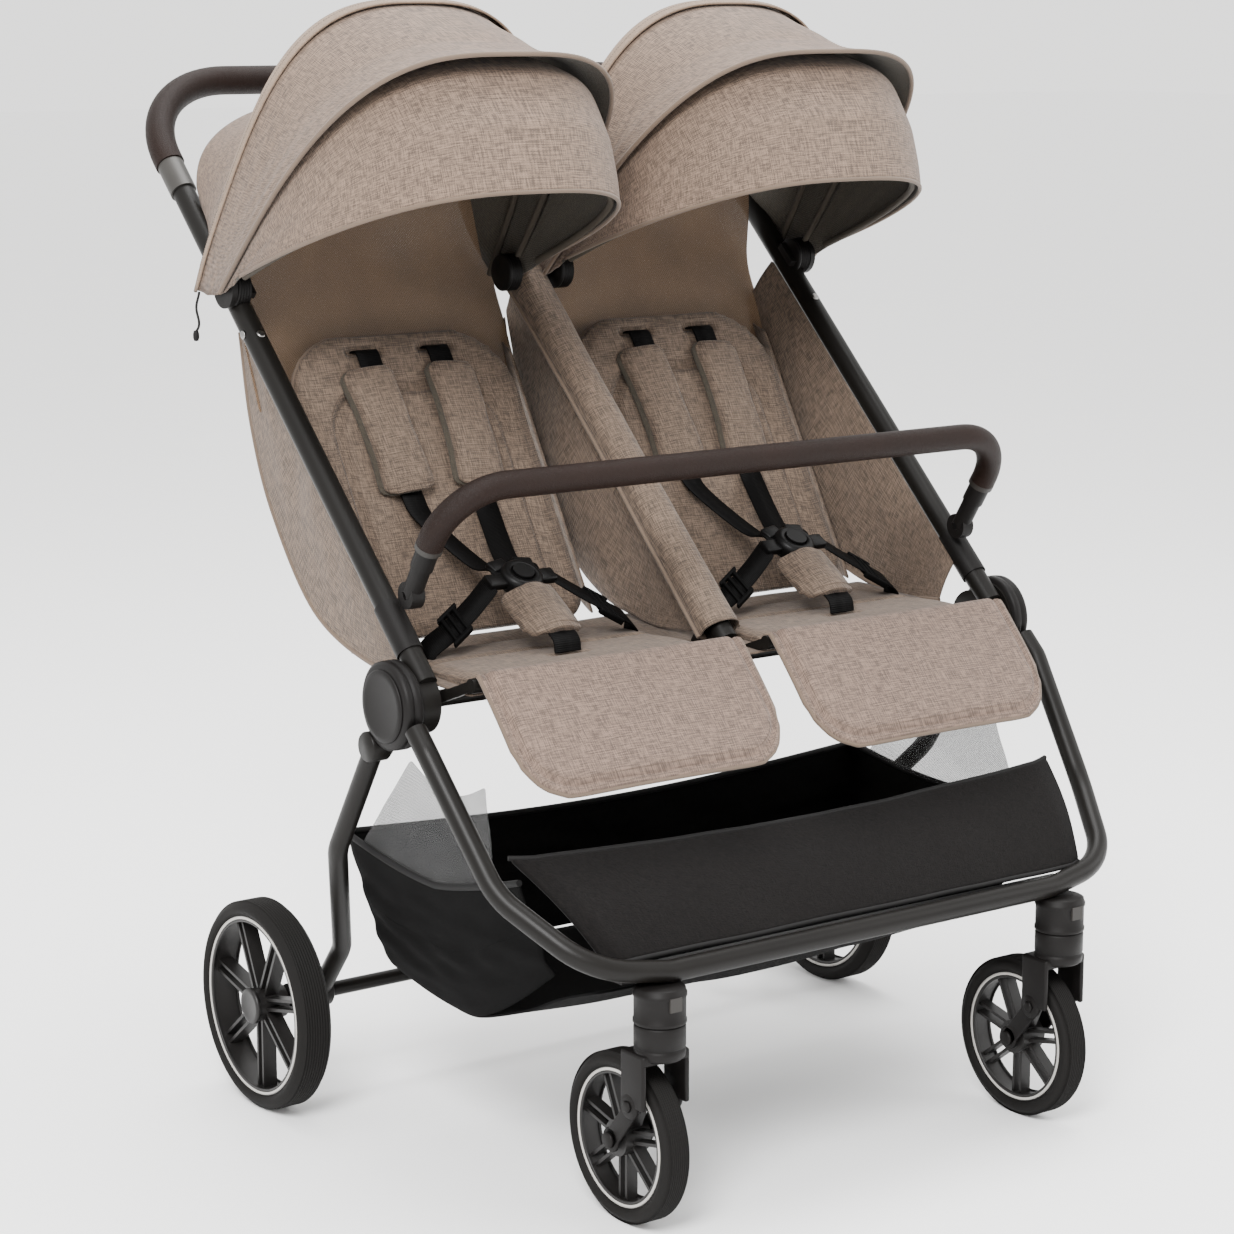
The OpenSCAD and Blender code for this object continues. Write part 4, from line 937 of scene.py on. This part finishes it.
for side, word in ((-1, "left"), (1, "right")):
    back = Matrix.Translation((side * seat_x, bight.y, bight.z)) @ back_turn
    mesh = settled(back_blank, back @ Matrix.Translation((0, 0.01, -0.005)))
    obj = fit("backrest_pad_" + word, mesh, seat_cloth, "backrest_" + word, "seat_cloth", "backrest_" + word)
    lines = [at(back @ Matrix.Translation((0, 0.01, 0)), fine(round_line(0.196 + off, 0.014, 0.268 + off / 2, 0.05))) for off in (-0.011, 0.013)]
    stitches = [row_of_stitches(line, mesh, 0.0036, 0.0025, 0.00055) for line in lines]
    for s in (-1, 1):
        for dy in (-0.004, 0.004):
            stitches.append(row_of_stitches(at(back @ Matrix.Translation((0, 0.01, 0)), fine([Vector((s * 0.042 - 0.017, 0.312 + dy, 0)), Vector((s * 0.042 + 0.017, 0.312 + dy, 0))])), mesh, 0.0036, 0.0025, 0.00055))
    fit("backrest_stitching_" + word, joined(*stitches), stitch_thread, "backrest_" + word, "seat_cloth", smooth=False)
    piping = [back @ Matrix.Translation((0, 0.01, -0.0115)) @ p for p in round_line(0.30, 0.02, 0.356, 0.085)]
    fit("backrest_piping_" + word, tube(hugging(fine(piping), mesh), 0.0021, sides=10), seat_piping, "backrest_" + word, "seat_cloth")
    obj = fit("seat_pad_cover_" + word, settled(pad_blank, Matrix.Translation((side * seat_x, -0.190, hub.z + 0.0205)) @ Matrix.Rotation(math.radians(-2.0), 4, "X")), seat_cloth, "front_frame", "seat_cloth", "seat_pad_" + word)
    rest = Matrix.Translation((side * 0.169, seat_front.y, seat_front.z)) @ rest_turn
    mesh = settled(rest_blank, rest, over_tube)
    obj = fit("leg_rest_cover_" + word, mesh, rest_cloth, "leg_rest_" + word, "rest_cloth", "leg_rest_" + word)
    rows = [row_of_stitches(at(rest, [over_tube(p + Vector((0, 0, 0.004))) for p in fine(round_line(w, 0.014, far, r))]), mesh, 0.0036, 0.0025, 0.0006) for w, far, r in ((0.290, 0.137, 0.050), (0.278, 0.131, 0.044))]
    fit("leg_rest_stitching_" + word, joined(*rows), stitch_thread, "leg_rest_" + word, "rest_cloth", smooth=False)
    edge = [over_tube(Vector((p.x, p.y, -0.003))) for p in fine(round_line(0.324, 0.002, 0.159, 0.064))]
    fit("leg_rest_piping_" + word, tube(hugging(at(rest, edge), mesh), 0.0023, sides=10), seat_piping, "leg_rest_" + word, "rest_cloth")
    # shoulder pads folded over the straps
    pads, seams = [], []
    for s in (-1, 1):
        lie = back @ Matrix.Translation((s * 0.043, 0.160, 0.0145)) @ Matrix.Rotation(math.radians(s * -3), 4, "Z") @ Matrix.Rotation(math.radians(s * 4), 4, "Y")
        mesh = settled(shoulder_blank, lie, lambda p: Vector((p.x, p.y, p.z - 5 * p.x * p.x + 0.004 * math.sin(p.y * 24 + 0.6))))
        obj = fit(f"shoulder_pad_{word}_{'inner' if s * side < 0 else 'outer'}", mesh, seat_cloth, "backrest_" + word, "seat_cloth", *(["shoulder_pads_" + word] if s < 0 else []))
        curve = lambda p: Vector((p.x, p.y, p.z - 5 * p.x * p.x + 0.004 * math.sin(p.y * 24 + 0.6)))
        seams.append(row_of_stitches(at(lie, [curve(p + Vector((0, 0, 0.004))) for p in fine(round_line(0.055, 0.005, 0.137, 0.011, True))]), mesh, 0.0034, 0.0024, 0.0005))
        under = settled(shoulder_blank, lie @ Matrix.Translation((-0.0045, 0.001, -0.0062)) @ Matrix.Diagonal((0.98, 0.985, 0.5, 1)), curve)
        obj = fit(f"shoulder_pad_lining_{word}_{'inner' if s * side < 0 else 'outer'}", under, lining_cloth, "backrest_" + word, "seat_cloth")
    fit("shoulder_pad_stitching_" + word, joined(*seams), stitch_thread, "backrest_" + word, "seat_cloth", smooth=False)
    # straps
    crotch = Matrix.Translation((side * seat_x, hub.y + 0.02, hub.z + 0.035)) @ Matrix.Rotation(math.radians(30), 4, "X")
    grip_at = crotch @ Vector((0, 0.085, 0.004))
    upper, lower = [], []
    for s in (-1, 1):
        top = smooth_path(at(back, [(s * 0.042, 0.325, -0.009), (s * 0.042, 0.3205, 0.0035), (s * 0.042, 0.305, 0.0065), (s * 0.042, 0.285, 0.0065), (s * 0.043, 0.2, 0.0035), (s * 0.041, 0.16, 0.006)]))
        upper.append(strap(top, (1, 0, 0), 0.026))
        run = smooth_path([back @ Vector((s * 0.041, 0.162, 0.006)), back @ Vector((s * 0.037, 0.13, 0.012)), grip_at.lerp(back @ Vector((s * 0.042, 0.12, 0.012)), 0.4) + Vector((0, 0.004, -0.006)),
                           crotch @ Vector((s * 0.015, 0.104, 0.006)), crotch @ Vector((s * 0.014, 0.09, 0.006))])
        lower.append(strap(run, (1, 0, s * 0.12), 0.026))
    fit("shoulder_straps_" + word, joined(*upper), black_webbing, "backrest_" + word, "hub_plastic")
    fit("shoulder_strap_tails_" + word, joined(*lower), black_webbing, ("push_frame", "backrest_" + word, grip_at, back @ Vector((0, 0.16, 0.01))), "hub_plastic")
    belt = []
    for s in (-1, 1):
        path = smooth_path([Vector((side * seat_x + s * 0.122, -0.066, hub.z + 0.012)), Vector((side * seat_x + s * 0.118, -0.070, hub.z + 0.030)), Vector((side * seat_x + s * 0.094, -0.070, hub.z + 0.045)),
                            Vector((side * seat_x + s * 0.062, -0.062, hub.z + 0.064)), crotch @ Vector((s * 0.034, 0.085, 0.006))])
        wide = [Vector((0.0, 0.87, 0.5)) for _ in path]
        belt.append(strap(path, wide, 0.026))
        lock = path[18]
        run, wide = (path[20] - path[16]).normalized(), Vector((0.0, 0.87, 0.5)).normalized()
        turn = Matrix((run, wide, run.cross(wide))).transposed().to_4x4()
        for dx in (-0.009, 0.0, 0.009):
            belt.append(block((0.0042, 0.036, 0.0062), lock + turn.to_3x3() @ Vector((dx, 0, 0.0)), turn, 0.0014))
        for dy in (-0.0170, 0.0170):
            belt.append(block((0.028, 0.0046, 0.0072), lock + turn.to_3x3() @ Vector((0, dy, 0.0)), turn, 0.0014))
    foot = smooth_path([Vector((side * seat_x, -0.133, hub.z + 0.024)), crotch @ Vector((0, -0.004, 0.0045)), crotch @ Vector((0, 0.02, 0.0035)), crotch @ Vector((0, 0.07, 0.004))])
    belt.append(strap(foot, (1, 0, 0), 0.030))
    fit("waist_and_crotch_straps_" + word, joined(*belt), black_webbing, "front_frame", "hub_plastic")
    mesh = settled(crotch_blank, crotch @ Matrix.Translation((0, 0.003, 0.0135)), lambda p: Vector((p.x, p.y, p.z - 12 * p.x * p.x)))
    obj = fit("crotch_pad_cover_" + word, mesh, seat_cloth, "front_frame", "seat_cloth", *(["crotch_pads"] if side < 0 else []))
    fit("crotch_pad_stitching_" + word, row_of_stitches(at(crotch @ Matrix.Translation((0, 0.003, 0.0135)), fine(round_line(0.058, 0.007, 0.063, 0.010, True))), mesh, 0.0034, 0.0024, 0.0005), stitch_thread, "front_frame", "seat_cloth", smooth=False)
    # buckle body with its prongs
    axis = (crotch.to_3x3() @ Vector((0, 0, 1)))
    centre = crotch @ Vector((0, 0.085, -0.002))
    body = turned([(0, 0), (0.0205, 0), (0.0218, 0.002), (0.0218, 0.012), (0.0205, 0.0158), (0.0175, 0.018), (0.0125, 0.018), (0.0118, 0.0168), (0.0116, 0.0125), (0, 0.0125)], centre, axis, 48)
    prongs = [block((0.021, 0.017, 0.0085), crotch @ Vector((s * 0.0285, 0.085, 0.0062)), crotch.to_3x3().to_4x4(), 0.002) for s in (-1, 1)]
    prongs += [block((0.021, 0.015, 0.0075), crotch @ Vector((s * 0.0145, 0.1065, 0.0062)), crotch.to_3x3().to_4x4() @ Matrix.Rotation(math.radians(s * -12), 4, "Z"), 0.002) for s in (-1, 1)]
    prongs.append(block((0.034, 0.010, 0.0065), crotch @ Vector((0, 0.0625, 0.006)), crotch.to_3x3().to_4x4(), 0.002))
    fit("buckle_body_" + word, joined(body, *prongs), buckle_plastic, "front_frame", "hub_plastic", *(["buckles"] if side < 0 else []))
    repaint(buckle_plastic, "buckle_button_" + word)

# ---------- seat sides and divider ----------
# Cloth walls run from each push tube down to the seat. A piped sleeve covers
# the middle tube and parts the two seats.
wing_edge = [Vector((0, y, z)) for y, z in ((-0.108, 0.482), (-0.023, 0.479), (0.082, 0.513), (0.162, 0.600), (0.202, 0.684), (0.222, 0.776))]
wing_low = smooth_path(wing_edge, 10)
wing_top = [push @ Vector((0, lerp(0.058, 0.490, k / 50), 0.022)) for k in range(51)]


def side_wall(side):
    def shape(u, v):
        low = wing_low[min(50, int(round(u * 50)))]
        top = wing_top[min(50, int(round(u * 50)))]
        spot = top.lerp(low, v)
        bulge = math.sin(math.pi * v) * (0.010 + 0.006 * math.sin(math.pi * u))
        fold = ripple((0, spot.y * 1.3, spot.z * 0.5), 0.045, 0.006, 2.0) * math.sin(math.pi * min(1, v * 1.2))
        x = lerp(0.3365, 0.3235, v ** 0.9) - bulge * 0.15 + fold * 0.55
        return Vector((side * min(x, 0.3370), spot.y, spot.z))

    return shape


for side, word in ((-1, "left"), (1, "right")):
    wall = cloth_grid(50, 26, side_wall(side), (0.46, 0.12))
    bmesh.ops.recalc_face_normals(wall, faces=wall.faces)
    obj = thicken(fit("seat_side_" + word, wall, seat_cloth, "push_frame", "seat_cloth", *(["seat_wings"] if side < 0 else [])), 0.0018, 0.0)
    edge = [side_wall(side)(k / 60, 1.0) for k in range(61)]
    fit("seat_side_binding_" + word, tube(edge, 0.0026, sides=12), seat_piping, "push_frame", "seat_cloth")




def sling(u, v):
    """The seats' support cloth, from the front tube to under the backrests."""
    x, y = lerp(-0.3215, 0.3215, u), lerp(-0.196, 0.022, v)
    sag = 0.006 * math.sin(math.pi * v) * abs(math.sin(2 * math.pi * u))
    return Vector((x, y, hub.z + 0.0115 - sag + 0.004 * v + ripple((x, y, 0), 0.08, 0.002, 2.0)))


support = cloth_grid(60, 24, sling, (0.643, 0.22))
bmesh.ops.recalc_face_normals(support, faces=support.faces)
thicken(fit("seat_sling", support, seat_cloth, "front_frame", "seat_cloth"), 0.0014, 0.0)

for side, word in ((-1, "left"), (1, "right")):
    for s, where in ((side, "outer"), (-side, "inner")):
        edge_x = side * seat_x + s * 0.139
        wall_x = side * 0.3245 if s == side else side * 0.006

        def gusset(u, v, side=side, edge_x=edge_x, wall_x=wall_x):
            """Soft cloth that joins the edge of a backrest to the wall beside it."""
            on_pad = back_turn @ Vector((0, lerp(0.015, 0.315, u), -0.011)) + bight
            on_wall = wing_low[min(50, int(round(lerp(24, 50, u))))]
            spot = Vector((edge_x, on_pad.y, on_pad.z)).lerp(Vector((wall_x, on_wall.y, on_wall.z)), v)
            slack = math.sin(math.pi * v)
            return spot + Vector((0, 0.012 * slack + ripple((spot.z, spot.y, v), 0.05, 0.006, 5.0) * slack, -0.006 * slack))

        panel = cloth_grid(40, 10, gusset, (0.32, 0.05))
        outward(panel, (edge_x, 0.4, 0.5))
        join = ("push_frame", "backrest_" + word, (wall_x, 0.10, 0.6), (edge_x, 0.10, 0.6))
        obj = thicken(fit(f"backrest_gusset_{word}_{where}", panel, seat_cloth, join, "seat_cloth"), 0.0016, 0.0)


def sleeve(u, v):
    """Sleeve round the middle tube: u runs round it, v runs up it."""
    s = lerp(0.014, 0.505, v)
    a = 2 * math.pi * u
    wide, deep = 0.0205 - 0.003 * math.sin(math.pi * v), 0.0145
    n, x = math.cos(a) * deep, math.sin(a) * wide
    hang = -0.010 * (1 - abs(n) / deep) if n < 0 else 0
    spot = push @ Vector((x, s, 0.0275 + n + hang))
    return spot + (push.to_3x3() @ Vector((0, 0, 1))) * ripple((x * 2, s, 0), 0.05, 0.0015, 7.0)


cover = cloth_grid(28, 60, sleeve, (0.115, 0.49))
bmesh.ops.remove_doubles(cover, verts=cover.verts, dist=1e-5)
bmesh.ops.recalc_face_normals(cover, faces=cover.faces)
obj = thicken(fit("divider_sleeve", cover, seat_cloth, "push_frame", "seat_cloth"), 0.0012, 1.0)
for side in (-1, 1):
    fit("divider_piping_" + ("left" if side < 0 else "right"), tube([sleeve(0.25 if side > 0 else 0.75, k / 60) + Vector((side * 0.0015, 0, 0)) for k in range(61)], 0.0022, sides=10),
        seat_piping, "push_frame", "seat_cloth")


def divider_skirt(u, v):
    """The doubled cloth that hangs from the middle sleeve to the seats."""
    low = wing_low[min(50, int(round(u * 50)))]
    top = push @ Vector((0, lerp(0.05, 0.50, u), 0.016))
    spot = top.lerp(low + Vector((0, 0.0, 0.004)), v)
    return Vector((0.0105 * math.sin(math.pi * v) * math.sin(u * 9.0) * 0.5 + ripple(spot, 0.06, 0.004, 4.0), spot.y, spot.z))


skirt = cloth_grid(50, 16, divider_skirt, (0.46, 0.12))
bmesh.ops.recalc_face_normals(skirt, faces=skirt.faces)
obj = thicken(fit("divider_skirt", skirt, seat_cloth, "push_frame", "seat_cloth"), 0.006, 0.0)

# ---------- canopies ----------
# Each hood has a zipped rear drape on the push frame, a crown panel with a
# flared piped brim, and a visor that slides under the brim. All hang on bows
# that turn about one ribbed hinge disc.
canopy_cloth = woven("canopy_cloth", dye(54, 42, 34), dye(124, 103, 87), 1.4, 0.6)
band_cloth = woven("band_cloth", dye(104, 86, 71), dye(150, 128, 109), 0.5, 0.4)
lining_piping = coat("lining_piping", dye(34, 29, 22), dye(58, 50, 39), 0.85, 1100, 0.0003)
tan_net = mesh_net("tan_net", dye(112, 88, 64), 0.0020, 0.7, dye(76, 58, 42))
hinge = Vector((0, hub.y + 0.480 * math.cos(tilt) - 0.040 * math.sin(tilt), hub.z + 0.480 * math.sin(tilt) + 0.040 * math.cos(tilt)))
canopy_x = 0.192


def bow(u, half, r, angle, square=2.8):
    """A point on a canopy bow that stands at an angle above the forward direction.

    Near the feet the cloth fans out to a rounded tip that covers the hinge disc."""
    a = math.pi * u
    up, across = abs(math.sin(a)), -math.cos(a)
    x = half * math.copysign(abs(across) ** (2 / square), across)
    h = r * up ** (2 / square)
    spread = (angle - 19) / 58
    foot = (1 - up) ** 4
    turn = math.radians(angle)
    return Vector((x, -h * math.cos(turn) + foot * (0.098 * spread - 0.043), h * math.sin(turn) + foot * (0.016 - 0.07 * spread + 0.05 * spread * spread)))


def panel_between(side, rows, puff=0.0, seed=0.0, wrinkle=0.0):
    """Cloth stretched over bows [(share, half width, radius, angle, squareness), ...]."""
    def shape(u, v):
        for (va, *a), (vb, *b) in zip(rows, rows[1:]):
            if v <= vb + 1e-9:
                break
        t = (v - va) / (vb - va)
        spot = bow(u, *a).lerp(bow(u, *b), t)
        spot += spot.normalized() * (puff * math.sin(math.pi * t) + ripple((spot.x, spot.y, spot.z), 0.11, wrinkle, seed) * math.sin(math.pi * t))
        return spot + Vector((side * canopy_x, hinge.y, hinge.z))

    return shape


drape_end = push @ Vector((0, 0.610, 0.0465)) - hinge


def hood(side, word):
    crown_rows = [(0.0, 0.1755, 0.2855, 75), (0.34, 0.1765, 0.2905, 60.5), (0.6, 0.1775, 0.301, 52, 2.9), (0.82, 0.1790, 0.318, 46.5, 3.1), (1.0, 0.1805, 0.344, 41.5, 3.3)]
    crown = panel_between(side, crown_rows, 0.0, 1.0, 0.003)
    panel = cloth_grid(72, 22, crown, (0.79, 0.16))
    outward(panel, (side * canopy_x, hinge.y, hinge.z - 0.05))
    obj = thicken(fit("canopy_crown_" + word, panel, [canopy_cloth, lining_cloth], "canopy_" + word, "canopy_cloth", "canopy_front_" + word), 0.0026, 0.0, 1)
    brim = [crown(k / 90, 1.0) for k in range(91)]
    fit("canopy_brim_piping_" + word, tube(brim, 0.0024, sides=12), seat_piping, "canopy_" + word, "canopy_cloth")
    seam = [crown(k / 120, 0.90) for k in range(3, 118)]
    fit("canopy_brim_stitching_" + word, row_of_stitches(seam, obj.data, 0.0036, 0.0026, 0.0006), dark_thread, "canopy_" + word, "canopy_cloth", smooth=False)

    visor_rows = [(0.0, 0.1725, 0.296, 50, 2.9), (0.25, 0.1745, 0.319, 42, 3.1), (0.6, 0.1760, 0.323, 31, 2.9), (1.0, 0.1765, 0.314, 19)]
    visor = panel_between(side, visor_rows, 0.001, 4.0, 0.0025)
    panel = cloth_grid(72, 22, visor, (0.79, 0.155))
    outward(panel, (side * canopy_x, hinge.y, hinge.z - 0.05))
    obj = thicken(fit("canopy_visor_" + word, panel, [canopy_cloth, lining_cloth], "visor_" + word, "canopy_cloth", "visor_" + word), 0.0024, 0.0, 1)
    fit("visor_edge_binding_" + word, tube([visor(k / 90, 1.0) for k in range(91)], 0.0021, sides=12), seat_piping, "visor_" + word, "canopy_cloth")
    fit("visor_stitching_" + word, row_of_stitches([visor(k / 120, 0.955) for k in range(3, 118)], obj.data, 0.0036, 0.0026, 0.0006), dark_thread, "visor_" + word, "canopy_cloth", smooth=False)

    def drape(u, v):
        """From the zip band down and back to the cloth yoke behind the push tube."""
        one = bow(u, 0.1740, 0.2835, 74.0)
        end = Vector((-0.152 * math.cos(math.pi * u), drape_end.y, drape_end.z + 0.085 * math.sin(math.pi * u) ** 0.8))
        t = v
        spot = one.lerp(end, t)
        pull = math.sin(math.pi * t)
        flat = math.sin(math.pi * u)
        spot -= Vector((0, 0.030 * pull * flat, 0.022 * pull * flat))
        spot.x *= 1 - 0.05 * pull
        spot += Vector((0, 1, 1)).normalized() * ripple((spot.x, spot.y * 2, spot.z), 0.08, 0.006, 6.0) * pull
        return spot + Vector((side * canopy_x, hinge.y, hinge.z))

    panel = cloth_grid(64, 26, drape, (0.70, 0.22))
    outward(panel, (side * canopy_x, hinge.y, hinge.z - 0.05))
    obj = thicken(fit("canopy_drape_" + word, panel, [canopy_cloth, lining_cloth], "push_frame", "canopy_cloth", "canopy_rear_" + word), 0.0022, 0.0, 1)
    band = cloth_grid(90, 4, panel_between(side, [(0.0, 0.1768, 0.2878, 75.2), (1.0, 0.1782, 0.2905, 71.4)], 0.0015), (0.79, 0.015))
    bmesh.ops.recalc_face_normals(band, faces=band.faces)
    obj = thicken(fit("canopy_zip_band_" + word, band, band_cloth, "canopy_" + word, "canopy_cloth"), 0.0022, 0.0)
    zip_row = [panel_between(side, [(0.0, 0.1775, 0.2895, 73.4), (1.0, 0.1775, 0.2895, 73.2)])(k / 120, 0.5) for k in range(121)]
    fit("canopy_zip_" + word, row_of_stitches(zip_row, obj.data, 0.0030, 0.0019, 0.0026, 0.0004), buckle_plastic, "canopy_" + word, "canopy_cloth", smooth=False)

    def curtain(u, v):
        """Knitted net behind the head, from the drape down to behind the backrest."""
        x = lerp(-0.158, 0.158, u)
        round_off = 0.02 * (2 * u - 1) ** 4
        top = Vector((x * 0.97, 0.250 - round_off, 0.93 + 0.06 * math.sin(math.pi * u)))
        low = Vector((x, 0.186 - round_off * 0.5, 0.700))
        spot = top.lerp(low, v)
        folds = math.sin(u * 11 + v * 4.2) * 0.005 + ripple((u, v, 0), 0.35, 0.010, 3.0)
        spot.y += folds * math.sin(math.pi * v) + 0.018 * math.sin(math.pi * v)
        return spot + Vector((side * 0.171, 0, 0))

    net = cloth_grid(60, 30, curtain, (0.34, 0.27))
    outward(net, (side * 0.171, 0.0, 0.8))
    behind = (("push_frame", "backrest_" + word, (side * 0.171, 0.235, 0.90), (side * 0.171, 0.195, 0.765)))
    obj = thicken(fit("head_net_" + word, net, tan_net, behind, "canopy_cloth"), 0.0012, 0.0, 0)

    # a knotted cord pull hangs from the low end of the zip
    low_end = Vector((side * canopy_x - 0.1790, hinge.y + 0.040, hinge.z - 0.006))
    pull = [low_end + Vector((-0.0004 * k, 0.0006 * k * math.sin(k * 0.4), -0.0026 * k)) for k in range(16)]
    obj = fit("zip_pull_cord_" + word, tube(pull, 0.0013, sides=10), black_binding, "push_frame", "hub_plastic")
    knot = fit("zip_pull_knot_" + word, turned([(0, -0.0055), (0.0022, -0.005), (0.0031, -0.002), (0.0031, 0.002), (0.0022, 0.005), (0, 0.0055)], pull[-1] + Vector((0, 0, -0.004)), "Z", 16), black_binding, "push_frame", "hub_plastic")

    # bow covers inside the hood
    inside = []
    for half, r, angle, body in ((0.1690, 0.2800, 72, "push_frame"), (0.1690, 0.2880, 52, "canopy_" + word), (0.1715, 0.3070, 20.5, "visor_" + word)):
        path = [bow(k / 70, half, r, angle) + Vector((side * canopy_x, hinge.y, hinge.z)) for k in range(71)]
        fit(f"canopy_bow_cover_{word}_{len(inside)}", tube(path, 0.0036, sides=12), lining_piping, body, "canopy_cloth")
        inside.append(path)
    # hinge discs at both feet
    discs = []
    for s in (-1, 1):
        x = side * canopy_x + s * 0.1595
        profile = [(0, -0.0075), (0.0175, -0.0075), (0.0195, -0.006)]
        for k in range(4):
            profile += [(0.0195, -0.0045 + k * 0.003), (0.0180, -0.0038 + k * 0.003), (0.0180, -0.0022 + k * 0.003), (0.0195, -0.0015 + k * 0.003)]
        profile += [(0.0175, 0.0085), (0.0, 0.0085)]
        discs.append(turned(profile, (x, hinge.y, hinge.z), "X", 48))
    fit("canopy_hinge_discs_" + word, joined(*discs), hub_plastic, "push_frame", "hub_plastic")


hood(-1, "left")
hood(1, "right")
